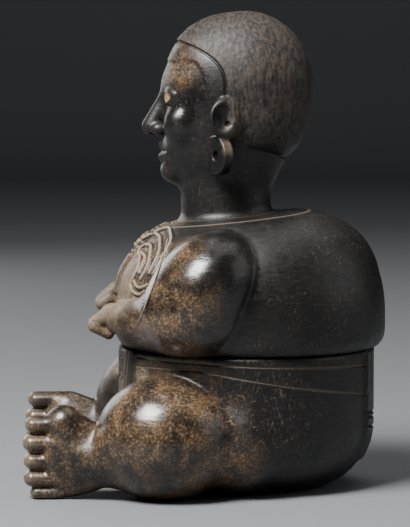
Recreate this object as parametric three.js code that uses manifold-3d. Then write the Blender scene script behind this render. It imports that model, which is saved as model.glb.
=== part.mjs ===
// A lidded pottery urn in the form of a seated figure. The lower vessel is the hips, legs and
// feet; the lid is the torso, arms, neck and head. Millimetres, +Z up, the figure faces -Y and
// its left side is +X.
//
// Each outside is one rounded clay body, so it is written as a distance function: negative
// inside, positive outside, with soft joins. The functions use three directions of the figure
// itself, measured from the middle of the vessel: side (out from the midline), front and up.

import * as THREE from 'three';
import { mergeVertices } from 'three/addons/utils/BufferGeometryUtils.js';
import Module from 'manifold-3d';

const wasm = await Module();
wasm.setup();

// Reach of the whole figure from the vessel's middle, and the seam between the two pieces.
const TOE_REACH = 142.6;
const BACK_REACH = 87.3;
const SEAM_Z = 88;
const SEAM_GAP = 0.3;

// Lower vessel: a round tub with a wide soft corner under it.
const TUB = { radius: 79.5, front: 1, foot: 43.5, corner: 36, cornerHeight: 40 };
const TUB_WALL = 8.5;
const FLOOR_THICKNESS = 9;
const COLLAR = { inner: 65, outer: 72, root: 84, top: 98, edge: 1 };

// Legs: the knee is a large ball, and the shin runs forward from it to the ankle.
// The right one is fuller than the left one.
const LEFT_KNEE = { centre: [60, 54, 36.5], radii: [42, 44, 39] };
const RIGHT_KNEE = { centre: [60, 52, 39.5], radii: [42, 45, 45] };
const HIP = { centre: [48, 8, 36], radii: [38, 36, 36] };
const SHIN = { from: [60, 74, 29], to: [59, 99, 24], fromRadius: 25, toRadius: 17.5 };
const LEG_WALL = 9;

// Feet stand on their outer edges with the soles turned inwards, so the toes are one over another.
const HEEL = { centre: [58, 102, 25], radii: [14, 16, 21.5] };
// The left one has a ridge along its top, from the toes back to the ankle.
const INSTEP = { centre: [58, 114, 26], radii: [13.5, 18, 25.5] };
const LEFT_RIDGE = { from: [58, 117, 45.5], to: [58, 96, 31], fromRadius: 12.2, toRadius: 10.5 };
const TOE_ROOT_FRONT = 120;
const TOE_SIDE = 59;
const TOES = [
  { height: 46.1, radius: 5, reach: 141 },
  { height: 34.8, radius: 5.6, reach: TOE_REACH },
  { height: 23.6, radius: 5.3, reach: 142 },
  { height: 12.8, radius: 5.3, reach: 142 },
  { height: 4, radius: 4.3, reach: 138 },
];

// Loincloth: a flat panel in front and a longer tail behind, both standing out of the wall.
const CLOTH_RAISE = 1.8;
const CLOTH_FRONT = { half: 36, low: 48, taper: 0.3 };
const CLOTH_BACK = { half: 35, low: 17, taper: 0 };

// Lid: the torso is a rounded drum, cut by a shelf that slopes down towards the chest.
const TORSO = { side: 83.5, front: 85.8, belly: 105, rise: 73, drop: 24, upperPower: 2.5, lowerPower: 4 };
const TORSO_LEAN = { from: 135, over: 25, start: -1.5, back: -3.5 };
const SHELF = { height: 175, at: -42, slope: 0.09, soften: 4 };
const LID_HOLLOW = { radius: 76, spring: 96, rise: 63, power: 2.6 };

// Arms: a heavy upper arm, with a short forearm that turns in to the middle of the chest.
const UPPER_ARM = { centre: [60, 32, 128], radii: [38, 34, 37], lean: 0.27 };
const ELBOW = { centre: [60, 36, 110], radii: [31, 30, 22] };
const FOREARM = { from: [62, 36, 112], to: [42, 70, 106], fromRadius: 22, toRadius: 15 };
const HAND = { from: [40, 72, 107], to: [19, 86, 108], fromRadius: 13, toRadius: 9 };

// Fingers lie side by side and curl down from the knuckle to the joint and back to the tip.
const FINGER = { count: 4, spacing: 6.6, inner: 6, radii: [4.1, 3.9, 3.4] };
const FINGER_BENDS = { knuckle: [87, 111], joint: [98, 103], tip: [89, 98] };
const THUMB = { from: [30, 82, 113], to: [26, 95, 107], fromRadius: 5, toRadius: 3.4 };
const RIGHT_HAND_RISE = 11;
const RIGHT_HAND_SETBACK = 5;

// Chest ornament: raised oval loops, one inside the other, on each side of the midline. They
// lean outwards as they go down.
const CHEST_LOOP = {
  side: 33, up: 144, lean: 0.65, halfWidth: 12, halfHeight: 19, raise: 1.8, band: 2.1,
  sizes: [1, 0.4],
};

// A plain raised strip runs down the middle of the chest.
const CHEST_STRIP = { half: 9, low: 122, high: 164, raise: 1.6 };

// Neck: a thick round post, fuller behind where it goes up into the hair.
const NECK = { front: 14, side: 27, depth: 28.5, bottom: 160, top: 212 };
const NECK_BACK = { centre: [0, 4, 208], radii: [26, 26, 24] };

// Head: the skull is three soft ovals, and the hair is a cap that stands out from it.
const SKULL = { centre: [0, 2.5, 254.6], radii: [40, 43.5, 45.4] };
const NAPE = { centre: [0, -3, 234], radii: [36, 35, 33] };
const FOREHEAD = { centre: [0, 16, 254], radii: [37, 38, 43.5] };
const HAIR_THICKNESS = 2.4;
const HAIRLINE = { temple: 16, reach: 27, from: 250, over: 31, power: 2.8 };
const HAIR_HEM = { height: 216, at: 3, slope: 0.3 };

// Face: plain proportions, with the eyes half way up the head and thirds from hairline to chin.
const CHIN_Z = 192;
const CROWN_Z = 300;
const HAIR_TIP_Z = 281;
const FACE_THIRD = (HAIR_TIP_Z - CHIN_Z) / 3;
const EYE_Z = (CHIN_Z + CROWN_Z) / 2;
const NOSE_BASE_Z = CHIN_Z + FACE_THIRD;
const MOUTH_Z = NOSE_BASE_Z - FACE_THIRD / 3;
const FACE_WIDTH = 76;
const EYE_WIDTH = FACE_WIDTH / 5;
const FACE = { centre: [0, 15, 240], radii: [35.5, 38, 48] };
const JAW = { centre: [0, 26, 211], radii: [27, 28, 19.5] };
const CHEEK = { centre: [19, 43, 229], radii: [11, 11, 12] };
const BROW = { middle: [0, 46.5, EYE_Z + 9], end: [19, 41.5, EYE_Z + 8], radius: 6 };
const SOCKET = { front: 59, radii: [10, 6, 6.5], soften: 4 };
const EYE = { front: 47, radii: [EYE_WIDTH / 2, 6.2, 4.4] };
const NOSE = { root: [0, 49, 251], tip: [0, 61, 227.5], rootRadius: 4.2, tipRadius: 6.2 };
const NOSTRIL = { centre: [6.3, 56.5, 225.5], radii: [4, 5, 4] };
const LIPS = {
  side: 8.5, front: 53, curve: 4, taper: 0.5,
  upper: { radius: 3.4, rise: 3.4 }, lower: { radius: 3.8, rise: -3.8 },
};
const CHIN = { centre: [0, 47, 199], radii: [11, 8.5, 7.5] };

// Ears with round ear ornaments, which turn most of the way to the front.
const EAR = { centre: [37.5, 15, 233], radii: [5, 12, 13.5], lean: 0.35 };
const EAR_DISH = { centre: [43, 17, 234], radii: [4.5, 7, 8.5] };
const SPOOL = { centre: [35, 20, 210], radius: 12, half: 3.4, hole: 3.2, turn: (62 * Math.PI) / 180 };

// Head and neck are hollow too, and open into the lid.
const NECK_BORE = { radius: 17, front: 12, bottom: 148, top: 222 };
const HEAD_HOLLOW = { centre: [0, 6, 246], radii: [29, 32, 37] };

// Spacing and reach of the sampling grid, the zones of the toes and of the face and hands where
// it is finer, and how many triangles each outside keeps.
const CELL = 3.2;
const FINE_CELL = 1.9;
const BASE_REACH = 108;
const LID_REACH = 106;
const FOOT_ZONE = { side: 72, front: 95, top: 66 };
const FACE_ZONE = { side: 46, front: 38, top: 288 };
const LID_TRIANGLES = 4450;
const BASE_TRIANGLES = 3080;

// Widths of the soft joins between one swelling of the clay and the next.
const JOIN = {
  instep: 6, ridge: 3, toes: 1.8, hip: 8, shin: 4, foot: 3, leg: 4,
  fingers: 1.6, thumb: 2, elbow: 14, forearm: 8, arm: 2, hand: 3,
  nape: 6, forehead: 4, jaw: 10, cheek: 8, brow: 7, bridge: 4, nostril: 2.5, chin: 6, lips: 1.5,
  dish: 1.5, face: 8, neck: 9, ear: 2, spool: 1.5, head: 6,
};

// Roundness of the turned hollows and of the ovals cut inside the knees and the head.
const TURNED_SIDES = 36;
const PROFILE_STEPS = 7;
const OVAL_SIDES = 16;
const OVAL_RINGS = 10;
const CUT_MARGIN = 5;

const BURNISHED = { color: 0x2b231d, roughness: 0.34, metalness: 0 };

// Distance functions

function clamp01(value) {
  return Math.min(1, Math.max(0, value));
}

function blend(a, b, width) {
  const h = Math.max(width - Math.abs(a - b), 0) / width;
  return Math.min(a, b) - h * h * width * 0.25;
}

function carve(a, b, width) {
  return -blend(-a, b, width);
}

function ellipsoid(side, front, up, { centre, radii }) {
  const s = side - centre[0];
  const f = front - centre[1];
  const u = up - centre[2];
  const near = Math.hypot(s / radii[0], f / radii[1], u / radii[2]);
  const slope = Math.hypot(s / radii[0] ** 2, f / radii[1] ** 2, u / radii[2] ** 2);
  return near < 1e-6 ? -Math.min(...radii) : near * (near - 1) / slope;
}

function limb(side, front, up, from, to, fromRadius, toRadius) {
  const run = [to[0] - from[0], to[1] - from[1], to[2] - from[2]];
  const length2 = run[0] ** 2 + run[1] ** 2 + run[2] ** 2;
  const s = side - from[0];
  const f = front - from[1];
  const u = up - from[2];
  const t = clamp01((s * run[0] + f * run[1] + u * run[2]) / length2);
  const away = Math.hypot(s - t * run[0], f - t * run[1], u - t * run[2]);
  return away - (fromRadius + (toRadius - fromRadius) * t);
}

// Lower vessel

function tubRadius(up) {
  const fall = Math.min(1, Math.max(0, TUB.cornerHeight - up) / TUB.cornerHeight);
  return TUB.foot + TUB.corner * Math.sqrt(1 - fall * fall);
}

function tub(side, front, up) {
  return Math.hypot(side, front - TUB.front) - tubRadius(up);
}

// The panels run on above the seam, where the rim is cut.
function panel(side, up, { half, low, taper }) {
  return Math.max(side - half + taper * (SEAM_Z - up), low - up);
}

function cloth(side, front, up) {
  const skin = tub(side, front, up) - CLOTH_RAISE;
  const shape = front > 0 ? CLOTH_FRONT : CLOTH_BACK;
  return Math.max(skin, panel(side, up, shape));
}

function foot(side, front, up) {
  const heel = ellipsoid(side, front, up, HEEL);
  const body = blend(heel, ellipsoid(side, front, up, INSTEP), JOIN.instep);
  let toes = Infinity;
  for (const { height, radius, reach } of TOES) {
    const root = [TOE_SIDE, TOE_ROOT_FRONT, height];
    const tip = [TOE_SIDE, reach - radius, height];
    toes = Math.min(toes, limb(side, front, up, root, tip, radius, radius));
  }
  return blend(body, toes, JOIN.toes);
}

function leg(side, front, up, kneeShape) {
  const knee = ellipsoid(side, front, up, kneeShape);
  const hip = ellipsoid(side, front, up, HIP);
  const shin = limb(side, front, up, SHIN.from, SHIN.to, SHIN.fromRadius, SHIN.toRadius);
  const limbs = blend(blend(knee, hip, JOIN.hip), shin, JOIN.shin);
  return blend(limbs, foot(side, front, up), JOIN.foot);
}

function lowerFigure(x, y, z) {
  const side = Math.abs(x);
  const front = -y;
  const wall = Math.min(tub(side, front, z), cloth(side, front, z));
  if (x < 0) return blend(wall, leg(side, front, z, RIGHT_KNEE), JOIN.leg);
  const { from, to, fromRadius, toRadius } = LEFT_RIDGE;
  const ridge = limb(side, front, z, from, to, fromRadius, toRadius);
  return blend(wall, blend(leg(side, front, z, LEFT_KNEE), ridge, JOIN.ridge), JOIN.leg);
}

// Lid

function torso(side, front, up) {
  const lean = TORSO_LEAN.start + TORSO_LEAN.back * clamp01((up - TORSO_LEAN.from) / TORSO_LEAN.over);
  const above = up > TORSO.belly;
  const power = above ? TORSO.upperPower : TORSO.lowerPower;
  const across = Math.hypot(side / TORSO.side, (front - lean) / TORSO.front);
  const along = Math.abs(up - TORSO.belly) / (above ? TORSO.rise : TORSO.drop);
  const drum = ((across ** power + along ** power) ** (1 / power) - 1) * TORSO.rise;
  const shelf = up - (SHELF.height - SHELF.slope * (front - SHELF.at));
  return carve(drum, -shelf, SHELF.soften);
}

function chestLoops(side, front, up, skin) {
  if (front < 0) return Infinity;
  const { lean, halfWidth, halfHeight, raise, band, sizes } = CHEST_LOOP;
  const rise = up - CHEST_LOOP.up;
  const away = Math.hypot((side - CHEST_LOOP.side + lean * rise) / halfWidth, rise / halfHeight);
  const nearest = Math.min(...sizes.map((size) => Math.abs(away - size) * halfWidth));
  return Math.max(skin - raise, nearest - band);
}

function chestStrip(side, front, up, skin) {
  if (front < 0) return Infinity;
  const { half, low, high, raise } = CHEST_STRIP;
  return Math.max(skin - raise, side - half, low - up, up - high);
}

function hand(side, front, up) {
  let shape = limb(side, front, up, HAND.from, HAND.to, HAND.fromRadius, HAND.toRadius);
  const [wide, middle, narrow] = FINGER.radii;
  for (let i = 0; i < FINGER.count; i += 1) {
    const across = FINGER.inner + i * FINGER.spacing;
    const [knuckle, joint, tip] = Object.values(FINGER_BENDS).map((at) => [across, ...at]);
    const near = limb(side, front, up, knuckle, joint, wide, middle);
    const end = limb(side, front, up, joint, tip, middle, narrow);
    shape = blend(shape, Math.min(near, end), JOIN.fingers);
  }
  const thumb = limb(side, front, up, THUMB.from, THUMB.to, THUMB.fromRadius, THUMB.toRadius);
  return blend(shape, thumb, JOIN.thumb);
}

function arm(side, front, up) {
  const elbow = ellipsoid(side, front, up, ELBOW);
  const leant = front + UPPER_ARM.lean * (up - UPPER_ARM.centre[2]);
  const upper = blend(ellipsoid(side, leant, up, UPPER_ARM), elbow, JOIN.elbow);
  const fore = limb(side, front, up, FOREARM.from, FOREARM.to, FOREARM.fromRadius, FOREARM.toRadius);
  return blend(upper, fore, JOIN.forearm);
}

function neck(side, front, up) {
  const away = Math.hypot(side / NECK.side, (front - NECK.front) / NECK.depth) - 1;
  const post = Math.max(away * NECK.side, NECK.bottom - up, up - NECK.top);
  return blend(post, ellipsoid(side, front, up, NECK_BACK), JOIN.nape);
}

function hairEdge(front, up) {
  const rise = clamp01((up - HAIRLINE.from) / HAIRLINE.over);
  const ahead = front - (HAIRLINE.temple + HAIRLINE.reach * rise ** HAIRLINE.power);
  const overCrown = HAIRLINE.from + HAIRLINE.over - up;
  const below = HAIR_HEM.height + HAIR_HEM.slope * (front - HAIR_HEM.at) - up;
  return Math.max(Math.min(ahead, overCrown), below);
}

function skull(side, front, up) {
  const back = blend(ellipsoid(side, front, up, SKULL), ellipsoid(side, front, up, NAPE), JOIN.nape);
  return blend(back, ellipsoid(side, front, up, FOREHEAD), JOIN.forehead);
}

function face(side, front, up) {
  let shape = blend(ellipsoid(side, front, up, FACE), ellipsoid(side, front, up, JAW), JOIN.jaw);
  shape = blend(shape, ellipsoid(side, front, up, CHEEK), JOIN.cheek);
  const brow = limb(side, front, up, BROW.middle, BROW.end, BROW.radius, BROW.radius);
  shape = blend(shape, brow, JOIN.brow);
  const socket = { centre: [EYE_WIDTH, SOCKET.front, EYE_Z], radii: SOCKET.radii };
  shape = carve(shape, ellipsoid(side, front, up, socket), SOCKET.soften);
  const eye = { centre: [EYE_WIDTH, EYE.front, EYE_Z], radii: EYE.radii };
  shape = Math.min(shape, ellipsoid(side, front, up, eye));
  const bridge = limb(side, front, up, NOSE.root, NOSE.tip, NOSE.rootRadius, NOSE.tipRadius);
  shape = blend(shape, bridge, JOIN.bridge);
  shape = blend(shape, ellipsoid(side, front, up, NOSTRIL), JOIN.nostril);
  shape = blend(shape, ellipsoid(side, front, up, CHIN), JOIN.chin);
  for (const { radius, rise } of [LIPS.upper, LIPS.lower]) {
    const middle = [0, LIPS.front, MOUTH_Z + rise];
    const corner = [LIPS.side, LIPS.front - LIPS.curve, MOUTH_Z + rise * LIPS.taper];
    const lip = limb(side, front, up, middle, corner, radius, radius * LIPS.taper);
    shape = blend(shape, lip, JOIN.lips);
  }
  return shape;
}

function ear(side, front, up) {
  const shell = ellipsoid(side + EAR.lean * (EAR.centre[1] - front), front, up, EAR);
  return carve(shell, ellipsoid(side, front, up, EAR_DISH), JOIN.dish);
}

function spool(side, front, up) {
  const s = side - SPOOL.centre[0];
  const f = front - SPOOL.centre[1];
  const u = up - SPOOL.centre[2];
  const through = s * Math.cos(SPOOL.turn) + f * Math.sin(SPOOL.turn);
  const across = f * Math.cos(SPOOL.turn) - s * Math.sin(SPOOL.turn);
  const away = Math.hypot(across, u);
  const disc = Math.max(away - SPOOL.radius, Math.abs(through) - SPOOL.half);
  return Math.max(disc, SPOOL.hole - away);
}

function head(side, front, up) {
  const bare = skull(side, front, up);
  const hair = Math.max(bare, hairEdge(front, up));
  let shape = blend(bare + HAIR_THICKNESS, face(side, front, up), JOIN.face);
  shape = blend(shape, neck(side, front, up), JOIN.neck);
  shape = Math.min(shape, hair);
  shape = blend(shape, ear(side, front, up), JOIN.ear);
  return blend(shape, spool(side, front, up), JOIN.spool);
}

function upperFigure(x, y, z) {
  const side = Math.abs(x);
  const front = -y;
  const skin = torso(side, front, z);
  let body = Math.min(skin, chestLoops(side, front, z, skin), chestStrip(side, front, z, skin));
  body = blend(body, arm(side, front, z), JOIN.arm);
  // The hands meet at the midline, with the right one held higher.
  const left = hand(x, front, z);
  const right = hand(-x, front + RIGHT_HAND_SETBACK, z - RIGHT_HAND_RISE);
  body = blend(body, Math.min(left, right), JOIN.hand);
  return z < NECK.bottom - 2 * JOIN.neck ? body : blend(body, head(side, front, z), JOIN.head);
}

// Sampling: each grid cell is six tetrahedra, so the surface is closed whatever the shape does.

const TETRAHEDRA = [
  [0, 1, 3, 7], [0, 3, 2, 7], [0, 2, 6, 7], [0, 6, 4, 7], [0, 4, 5, 7], [0, 5, 1, 7],
];

// Grid lines along one axis, with finer steps over the second span.
function gridLines([low, high], [fineLow, fineHigh]) {
  const lines = [low];
  while (lines[lines.length - 1] < high) {
    const last = lines[lines.length - 1];
    lines.push(last + (last >= fineLow && last < fineHigh ? FINE_CELL : CELL));
  }
  return lines;
}

function contour(distance, lines) {
  const counts = lines.map((line) => line.length);
  const values = new Float64Array(counts[0] * counts[1] * counts[2]);
  const place = (index) => {
    const i = index % counts[0];
    const j = Math.floor(index / counts[0]) % counts[1];
    const k = Math.floor(index / (counts[0] * counts[1]));
    return [lines[0][i], lines[1][j], lines[2][k]];
  };
  const steps = [1, counts[0], counts[0] * counts[1]];
  const onBorder = (index) => counts.some((count, axis) => {
    const slot = Math.floor(index / steps[axis]) % count;
    return slot === 0 || slot === count - 1;
  });
  for (let index = 0; index < values.length; index += 1) {
    const value = onBorder(index) ? CELL : distance(...place(index));
    values[index] = Math.abs(value) < 1e-3 ? 1e-3 : value;
  }
  const points = [];
  const triangles = [];
  const known = new Map();
  const cross = (a, b) => {
    const key = Math.min(a, b) * values.length + Math.max(a, b);
    if (!known.has(key)) {
      const t = values[a] / (values[a] - values[b]);
      const from = place(a);
      const to = place(b);
      known.set(key, points.length);
      points.push(from.map((value, axis) => value + t * (to[axis] - value)));
    }
    return known.get(key);
  };
  const emit = (a, b, c) => triangles.push([a, b, c]);
  const offsets = [0, 1, 2, 3, 4, 5, 6, 7].map((bits) => (
    (bits & 1) + ((bits >> 1) & 1) * steps[1] + ((bits >> 2) & 1) * steps[2]
  ));
  for (let k = 0; k < counts[2] - 1; k += 1) {
    for (let j = 0; j < counts[1] - 1; j += 1) {
      for (let i = 0; i < counts[0] - 1; i += 1) {
        const base = i + j * steps[1] + k * steps[2];
        const outsideBase = values[base] > 0;
        if (offsets.every((offset) => (values[base + offset] > 0) === outsideBase)) continue;
        for (const tetrahedron of TETRAHEDRA) {
          const corners = tetrahedron.map((bits) => base + offsets[bits]);
          const order = corners.map((corner, slot) => ({ corner, slot, inside: values[corner] < 0 }));
          const inside = order.filter((entry) => entry.inside);
          if (inside.length === 0 || inside.length === 4) continue;
          // An even arrangement of the corners keeps the winding of the tetrahedron.
          const lone = inside.length === 1 ? inside[0] : order.find((entry) => !entry.inside);
          if (inside.length !== 2) {
            const rest = corners.filter((_, slot) => slot !== lone.slot);
            if (lone.slot % 2 === 1) rest.reverse();
            const ring = rest.map((corner) => cross(lone.corner, corner));
            if (inside.length === 1) emit(ring[0], ring[1], ring[2]);
            else emit(ring[0], ring[2], ring[1]);
          } else {
            const outside = order.filter((entry) => !entry.inside);
            const [p, q] = inside.map((entry) => entry.corner);
            const [r, s] = outside.map((entry) => entry.corner);
            const slots = [...inside, ...outside].map((entry) => entry.slot);
            const ring = [cross(p, r), cross(p, s), cross(q, s), cross(q, r)];
            if (isOdd(slots)) ring.reverse();
            emit(ring[0], ring[1], ring[2]);
            emit(ring[0], ring[2], ring[3]);
          }
        }
      }
    }
  }
  return { points, triangles };
}

function isOdd(slots) {
  let swaps = 0;
  for (let i = 0; i < slots.length; i += 1) {
    for (let j = i + 1; j < slots.length; j += 1) {
      if (slots[i] > slots[j]) swaps += 1;
    }
  }
  return swaps % 2 === 1;
}

// Thinning: LENGTH_WEIGHT keeps the triangles even where the surface is flat, and FLIP_LIMIT is the
// least cosine between a triangle's old and new faces.
const LENGTH_WEIGHT = 1e-4;
const FLIP_LIMIT = 0.15;

// The edge whose removal moves the surface least goes first. A quadric holds the ten
// sums that give the squared distance from a point to the planes round a vertex.

function planeQuadric(a, b, c, d, weight) {
  return [a * a, a * b, a * c, a * d, b * b, b * c, b * d, c * c, c * d, d * d].map((v) => v * weight);
}

function quadricError(q, [x, y, z]) {
  return q[0] * x * x + 2 * q[1] * x * y + 2 * q[2] * x * z + 2 * q[3] * x
    + q[4] * y * y + 2 * q[5] * y * z + 2 * q[6] * y + q[7] * z * z + 2 * q[8] * z + q[9];
}

function subtract(a, b) {
  return [a[0] - b[0], a[1] - b[1], a[2] - b[2]];
}

function crossProduct(a, b) {
  return [a[1] * b[2] - a[2] * b[1], a[2] * b[0] - a[0] * b[2], a[0] * b[1] - a[1] * b[0]];
}

function dot(a, b) {
  return a[0] * b[0] + a[1] * b[1] + a[2] * b[2];
}

class EdgeQueue {
  constructor() {
    this.items = [];
  }

  push(item) {
    const { items } = this;
    items.push(item);
    let at = items.length - 1;
    while (at > 0) {
      const parent = (at - 1) >> 1;
      if (items[parent].cost <= items[at].cost) break;
      [items[parent], items[at]] = [items[at], items[parent]];
      at = parent;
    }
  }

  pop() {
    const { items } = this;
    const top = items[0];
    const last = items.pop();
    if (items.length > 0) {
      items[0] = last;
      let at = 0;
      for (;;) {
        let least = at;
        for (const child of [2 * at + 1, 2 * at + 2]) {
          if (child < items.length && items[child].cost < items[least].cost) least = child;
        }
        if (least === at) break;
        [items[least], items[at]] = [items[at], items[least]];
        at = least;
      }
    }
    return top;
  }
}

function thin({ points, triangles }, target) {
  const quadrics = points.map(() => new Array(10).fill(0));
  const around = points.map(() => new Set());
  const normalOf = ([a, b, c], moved, to) => {
    const [pa, pb, pc] = [a, b, c].map((v) => (moved && (v === moved[0] || v === moved[1]) ? to : points[v]));
    return crossProduct(subtract(pb, pa), subtract(pc, pa));
  };
  triangles.forEach((triangle, index) => {
    const normal = normalOf(triangle);
    const length = Math.hypot(...normal);
    for (const v of triangle) around[v].add(index);
    if (length < 1e-9) return;
    const [a, b, c] = normal.map((value) => value / length);
    const d = -dot([a, b, c], points[triangle[0]]);
    const q = planeQuadric(a, b, c, d, length / 2);
    for (const v of triangle) q.forEach((value, slot) => { quadrics[v][slot] += value; });
  });
  const version = new Int32Array(points.length);
  const queue = new EdgeQueue();
  const offer = (a, b) => {
    const q = quadrics[a].map((value, slot) => value + quadrics[b][slot]);
    const middle = points[a].map((value, axis) => (value + points[b][axis]) / 2);
    const choices = [points[a], points[b], middle];
    const solved = lowestPoint(q);
    const span = Math.hypot(...subtract(points[a], points[b]));
    if (solved && Math.hypot(...subtract(solved, middle)) < span * 2) choices.push(solved);
    let best = null;
    for (const point of choices) {
      const cost = quadricError(q, point) + LENGTH_WEIGHT * span * span * span * span;
      if (!best || cost < best.cost) best = { cost, point };
    }
    queue.push({ a, b, q, ...best, stamp: [version[a], version[b]] });
  };
  const neighbours = (v) => {
    const found = new Set();
    for (const index of around[v]) for (const w of triangles[index]) if (w !== v) found.add(w);
    return found;
  };
  points.forEach((_, v) => { for (const w of neighbours(v)) if (v < w) offer(v, w); });
  let count = triangles.length;
  while (count > target && queue.items.length > 0) {
    const { a, b, q, point, stamp } = queue.pop();
    if (version[a] !== stamp[0] || version[b] !== stamp[1]) continue;
    const nearA = neighbours(a);
    const shared = [...neighbours(b)].filter((v) => nearA.has(v));
    if (shared.length !== 2) continue;
    const lost = [...around[a]].filter((index) => around[b].has(index));
    const kept = [...around[a], ...around[b]].filter((index) => !lost.includes(index));
    const flips = kept.some((index) => {
      const before = normalOf(triangles[index]);
      const after = normalOf(triangles[index], [a, b], point);
      return dot(before, after) < FLIP_LIMIT * Math.hypot(...before) * Math.hypot(...after) + 1e-12;
    });
    if (flips) continue;
    for (const index of lost) {
      for (const v of triangles[index]) around[v].delete(index);
      triangles[index] = null;
    }
    for (const index of around[b]) {
      triangles[index] = triangles[index].map((v) => (v === b ? a : v));
      around[a].add(index);
    }
    around[b].clear();
    points[a] = point;
    quadrics[a] = q;
    version[a] += 1;
    version[b] += 1;
    count -= lost.length;
    for (const w of neighbours(a)) offer(a, w);
  }
  return { points, triangles: triangles.filter((triangle) => triangle) };
}

function lowestPoint(q) {
  const m = new THREE.Matrix3().set(q[0], q[1], q[2], q[1], q[4], q[5], q[2], q[5], q[7]);
  const size = q[0] + q[4] + q[7];
  if (Math.abs(m.determinant()) < 1e-5 * size ** 3) return null;
  const point = new THREE.Vector3(-q[3], -q[6], -q[8]).applyMatrix3(m.invert());
  return [point.x, point.y, point.z];
}

// Solids

function solidFromFaces({ points, triangles }) {
  const used = new Map();
  const vertices = [];
  const indices = triangles.flat().map((v) => {
    if (!used.has(v)) {
      used.set(v, used.size);
      vertices.push(...points[v]);
    }
    return used.get(v);
  });
  return new wasm.Manifold(new wasm.Mesh({
    numProp: 3,
    vertProperties: new Float32Array(vertices),
    triVerts: new Uint32Array(indices),
  }));
}

function solidFromGeometry(geometry) {
  geometry.deleteAttribute('normal');
  geometry.deleteAttribute('uv');
  const merged = mergeVertices(geometry, 1e-4);
  return new wasm.Manifold(new wasm.Mesh({
    numProp: 3,
    vertProperties: new Float32Array(merged.attributes.position.array),
    triVerts: new Uint32Array(merged.index.array),
  }));
}

// A turned solid about the vessel's middle, from [radius, height] pairs listed upwards.
function turned(profile) {
  const outline = profile.map(([radius, height]) => new THREE.Vector2(radius, height));
  const geometry = new THREE.LatheGeometry(outline, TURNED_SIDES);
  geometry.rotateX(Math.PI / 2);
  return solidFromGeometry(geometry);
}

function oval({ centre, radii }, across, shrink = 0) {
  const geometry = new THREE.SphereGeometry(1, OVAL_SIDES, OVAL_RINGS);
  geometry.scale(radii[0] - shrink, radii[1] - shrink, radii[2] - shrink);
  geometry.translate(across * centre[0], -centre[1], centre[2]);
  return solidFromGeometry(geometry);
}

function slab(bottom, top) {
  const reach = 4 * TOE_REACH;
  const geometry = new THREE.BoxGeometry(reach, reach, top - bottom);
  geometry.translate(0, 0, (bottom + top) / 2);
  return solidFromGeometry(geometry);
}

function stepsOf(make) {
  return Array.from({ length: PROFILE_STEPS + 1 }, (_, step) => make(step / PROFILE_STEPS));
}

function baseHollow() {
  const radius = TUB.radius - TUB_WALL;
  const corner = TUB.corner - FLOOR_THICKNESS / 2;
  const height = TUB.cornerHeight - FLOOR_THICKNESS / 2;
  const top = COLLAR.top + CUT_MARGIN;
  const bowl = stepsOf((t) => {
    const angle = t * Math.PI / 2;
    return [radius - corner * (1 - Math.sin(angle)), FLOOR_THICKNESS + height * (1 - Math.cos(angle))];
  });
  const step = radius - COLLAR.inner;
  const mouth = [[radius, COLLAR.root - step], [COLLAR.inner, COLLAR.root], [COLLAR.inner, top]];
  return turned([[0, FLOOR_THICKNESS], ...bowl, ...mouth, [0, top]]);
}

function collar() {
  const { inner, outer, top, root, edge } = COLLAR;
  const outside = [[outer, root], [outer, top - edge], [outer - edge, top]];
  return turned([[inner, root], ...outside, [inner, top], [inner, root]]);
}

function lidHollow() {
  const { radius, spring, rise, power } = LID_HOLLOW;
  const dome = stepsOf((t) => {
    const along = Math.sin(t * Math.PI / 2);
    return [radius * (1 - along ** power) ** (1 / power), spring + rise * along];
  });
  const bottom = SEAM_Z - CUT_MARGIN;
  const outline = dome.filter(([across]) => across > NECK_BORE.radius);
  return turned([[0, bottom], [radius, bottom], ...outline, [0, spring + rise]]);
}

function neckBore() {
  const { radius, front, bottom, top } = NECK_BORE;
  const geometry = new THREE.CylinderGeometry(radius, radius, top - bottom, OVAL_SIDES);
  geometry.rotateX(Math.PI / 2);
  geometry.translate(0, -front, (bottom + top) / 2);
  return solidFromGeometry(geometry);
}

function lowerSolid() {
  const lines = [
    gridLines([-BASE_REACH, BASE_REACH], [-FOOT_ZONE.side, FOOT_ZONE.side]),
    gridLines([-TOE_REACH - CELL, BACK_REACH], [-TOE_REACH - CELL, -FOOT_ZONE.front]),
    gridLines([-2 * CELL, SEAM_Z + 2 * CELL], [-2 * CELL, FOOT_ZONE.top]),
  ];
  const outside = solidFromFaces(thin(contour(lowerFigure, lines), BASE_TRIANGLES));
  const body = outside.intersect(slab(0, SEAM_Z)).add(collar());
  const knees = oval(LEFT_KNEE, 1, LEG_WALL).add(oval(RIGHT_KNEE, -1, LEG_WALL));
  const hips = oval(HIP, 1, LEG_WALL).add(oval(HIP, -1, LEG_WALL));
  return body.subtract(baseHollow().add(knees).add(hips));
}

function lidSolid() {
  const lines = [
    gridLines([-LID_REACH, LID_REACH], [-FACE_ZONE.side, FACE_ZONE.side]),
    gridLines([-LID_REACH - CELL, BACK_REACH + 2 * CELL], [-LID_REACH - CELL, -FACE_ZONE.front]),
    gridLines([SEAM_Z - 4 * CELL, CROWN_Z + 2 * CELL], [SEAM_Z, FACE_ZONE.top]),
  ];
  const outside = solidFromFaces(thin(contour(upperFigure, lines), LID_TRIANGLES));
  const body = outside.intersect(slab(SEAM_Z + SEAM_GAP, CROWN_Z + CUT_MARGIN));
  return body.subtract(lidHollow().add(neckBore()).add(oval(HEAD_HOLLOW, 1)));
}

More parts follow.
